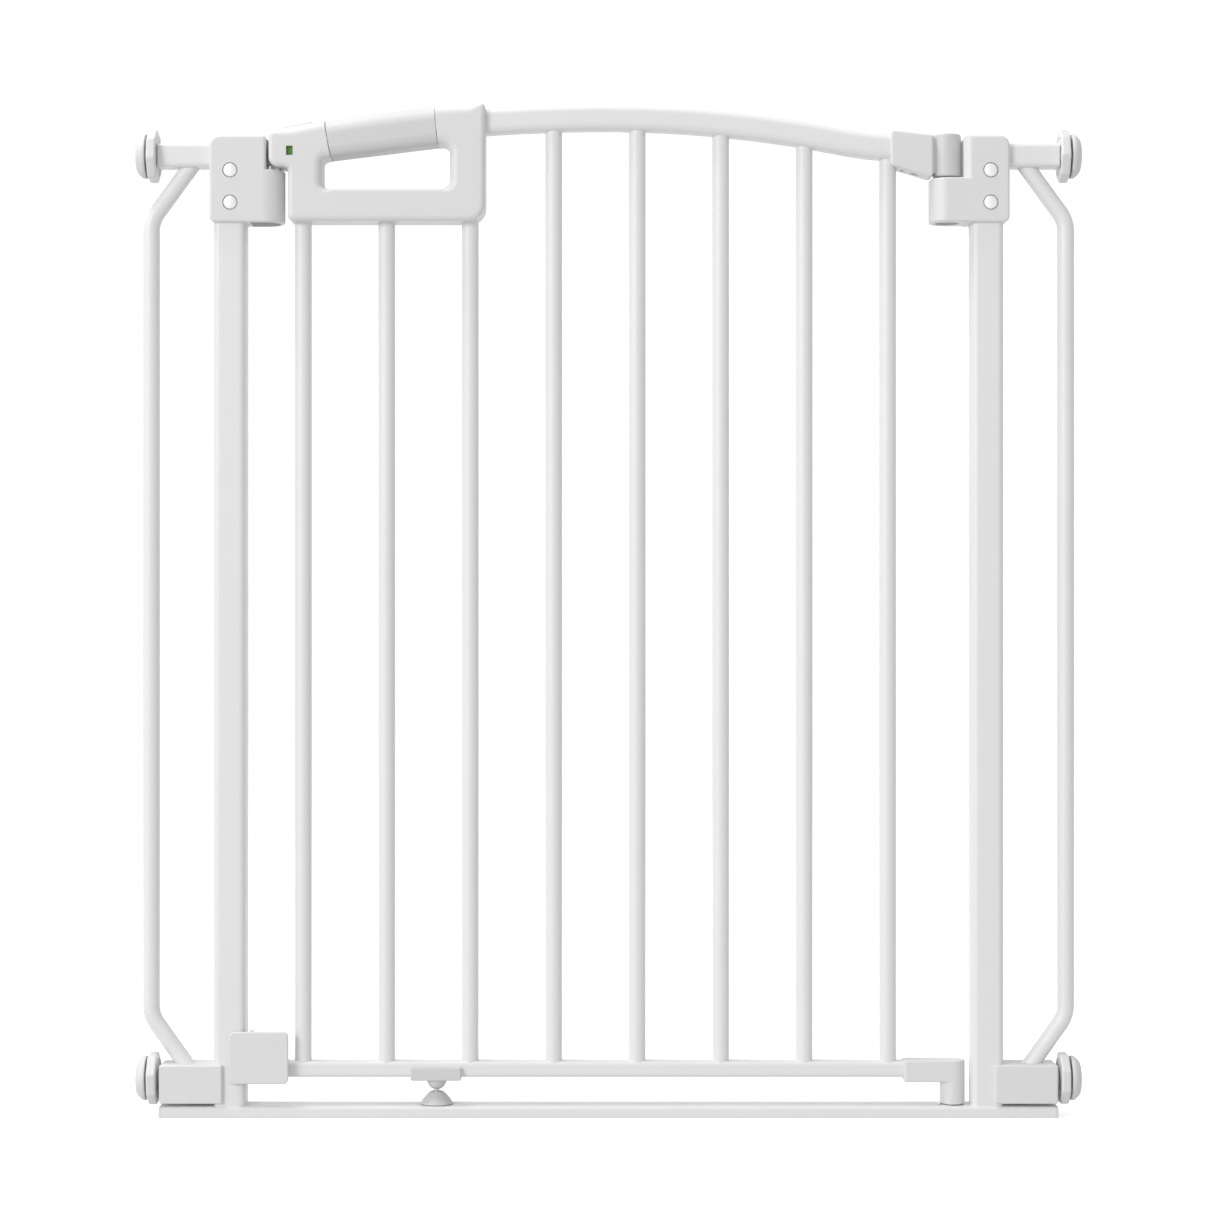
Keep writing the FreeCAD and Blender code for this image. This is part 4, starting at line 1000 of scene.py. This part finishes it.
# lower hinge sleeve: shoe on the rail end with the turned leg below it
shoe = bmesh.new()
loop = rounded([(220.8, -9.4, 2.0), (267.1, -9.4, 9.35), (267.1, 9.4, 9.35), (220.8, 9.4, 2.0)], step=7, longest=8)
slab(shoe, [loop], 26.0, 42.2, "xy", 1.2, 1.4, 5)
leg = bmesh.new()
lathe(leg, [(0, 9.2), (8.4, 9.2), (9.0, 9.45), (9.4, 10.1), (9.4, 27.5), (0, 27.5)], (267.1 - 9.4, 0, 0), "z", 64)
low_sleeve = boolean(shoe, [leg], "UNION")
c = bmesh.new()
lathe(c, [(0, 5.0), (3.1, 5.0), (3.1, 34.4), (0, 34.4)], (HX, 0, 0), "z", 32)
low_sleeve = boolean(low_sleeve, [c], "DIFFERENCE")
piece("hinge_sleeve_lower", low_sleeve, ["lower_hinge_sleeve"], sharp=28)

# catch plate, its block behind it and the small upright tab
bm = bmesh.new()
slab(bm, [rounded(rrect(-283.1, -238.5, 25.5, 64.6, 4.0), step=10, longest=6)], -16.5, -13.5, "xz", 1.25, 0.3, 5)
blk = bmesh.new()
slab(blk, [rounded(rrect(-268.0, -242.6, 26.2, 44.6, 2.5), step=12, longest=8)], -13.7, 9.5, "xz", 0.0, 1.5, 4)
tab = bmesh.new()
slab(tab, [rounded(rrect(-268.0, -265.0, 30.0, 65.1, 1.0), step=15, longest=8)], -13.7, -6.5, "xz", 0.0, 0.4, 3)
piece("catch_plate_body", join_bm(bm, blk, tab), ["catch_plate"], sharp=28)

# foot: clip, stud, cone
fx = -128.8
lo, hi = bx("foot_clip")
bm = bmesh.new()
slab(bm, [rounded(rrect(-148.0, -110.0, 27.3, 37.2, 1.6), step=12, longest=8)], -11.3, 11.3, "xz", 1.1, 1.1, 5)
ball = bmesh.new()
prof = [(2.2, 27.6), (7.2, 27.6), (7.5, 27.3)]
for k in range(0, 13):
    a = math.radians(2 + 70.0 * k / 12)
    prof.append((7.5 * math.cos(a), 27.0 - 7.5 * math.sin(a)))
prof += [(2.2, 19.85), (2.2, 27.6)]
lathe(ball, prof, (fx, 0, 0), "z", 56)
piece("foot_clip_body", join_bm(bm, ball), ["foot_clip"], sharp=40)

lo, hi = bx("foot_stud")
bm = bmesh.new()
rows = []
k = int((hi[2] - lo[2]) / 0.16)
for i in range(k + 1):
    z = lo[2] + (hi[2] - lo[2]) * i / k
    row = []
    for j in range(28):
        a = 2 * math.pi * j / 28
        t = (z / 1.25 - a / (2 * math.pi)) % 1.0
        r = 1.78 + 0.32 * (1 - abs(2 * t - 1))
        row.append((fx + r * math.cos(a), r * math.sin(a), z))
    rows.append(row)
loft(bm, rows)
piece("foot_stud_thread", bm, ["foot_stud"], sharp=60, weighted=False)

bm = bmesh.new()
prof = [(0, 10.6), (2.2, 10.6), (2.2, 17.0), (3.4, 17.1), (3.9, 17.5), (4.2, 18.0), (4.6, 18.1), (5.2, 18.05), (5.6, 17.8)]
for k in range(1, 10):
    t = k / 10
    prof.append((5.6 + 6.35 * t + 0.35 * math.sin(math.pi * t), 17.8 - 7.6 * t))
prof += [(12.05, 10.0), (12.28, 9.6), (12.3, 9.3), (12.15, 8.95), (11.8, 8.8), (9.8, 8.8), (9.4, 9.0), (9.2, 9.4), (0, 9.4)]
lathe(bm, prof, (fx, 0, 0), "z", 64)
# the cone takes the darker grey, which is partly painted shade
piece("foot_cone_body", bm, ["foot_cone"], sharp=45, mat=CONE_GREY_PAINTED_SHADE)


# ---------------------------------------------------------------------------
# studio: pale floor that curves up into a pale wall all round, soft lights
# ---------------------------------------------------------------------------
def studio():
    bm = bmesh.new()
    prof = [(0.0, 0.0), (2.0, 0.0), (7.4, 0.0)]
    for i in range(1, 13):
        a = math.radians(90.0 * i / 12)
        prof.append((7.4 + 1.6 * math.sin(a), 1.6 - 1.6 * math.cos(a)))
    prof.append((9.0, 7.0))
    lathe(bm, prof, (0.0, 0.0, 0.0), "z", 96)
    bmesh.ops.recalc_face_normals(bm, faces=bm.faces[:])
    me = bpy.data.meshes.new("floor")
    bm.to_mesh(me)
    bm.free()
    for p in me.polygons:
        p.use_smooth = True
    ob = bpy.data.objects.new("floor", me)
    scene.collection.objects.link(ob)
    m = Mat("floor_paper")
    col = m.ramp(m.noise(3.0, 4.0, 0.5), [(0.3, (0.90, 0.90, 0.90)), (0.7, (0.93, 0.93, 0.93))])
    m.link(col, m.bsdf.inputs["Base Color"])
    m.bsdf.inputs["Roughness"].default_value = 0.9
    m.bsdf.inputs["Specular IOR Level"].default_value = 0.0
    m.bsdf.inputs["Emission Color"].default_value = (1.0, 1.0, 1.0, 1.0)
    m.bsdf.inputs["Emission Strength"].default_value = 0.5
    ob.data.materials.append(m.m)
    ob.visible_diffuse = False
    ob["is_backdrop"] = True


def area(name, loc, target, size, size_y, power):
    d = bpy.data.lights.new(name, "AREA")
    d.shape = "RECTANGLE"
    d.size, d.size_y = size, size_y
    d.energy = power
    o = bpy.data.objects.new(name, d)
    o.location = loc
    o.rotation_euler = (Vector(target) - Vector(loc)).to_track_quat("-Z", "Y").to_euler()
    scene.collection.objects.link(o)
    return o


studio()
world = bpy.data.worlds.new("world")
scene.world = world
world.use_nodes = True
world.node_tree.nodes["Background"].inputs["Color"].default_value = (1.0, 1.0, 1.0, 1.0)
world.node_tree.nodes["Background"].inputs["Strength"].default_value = 0.60
area("key", (-1.3, -0.12, 3.9), (0.0, 0.0, 0.4), 1.2, 1.0, 74.0)
area("fill", (-4.8, -6.0, 2.4), (0.0, 0.0, 0.4), 3.0, 3.0, 232.0)

lo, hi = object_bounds()
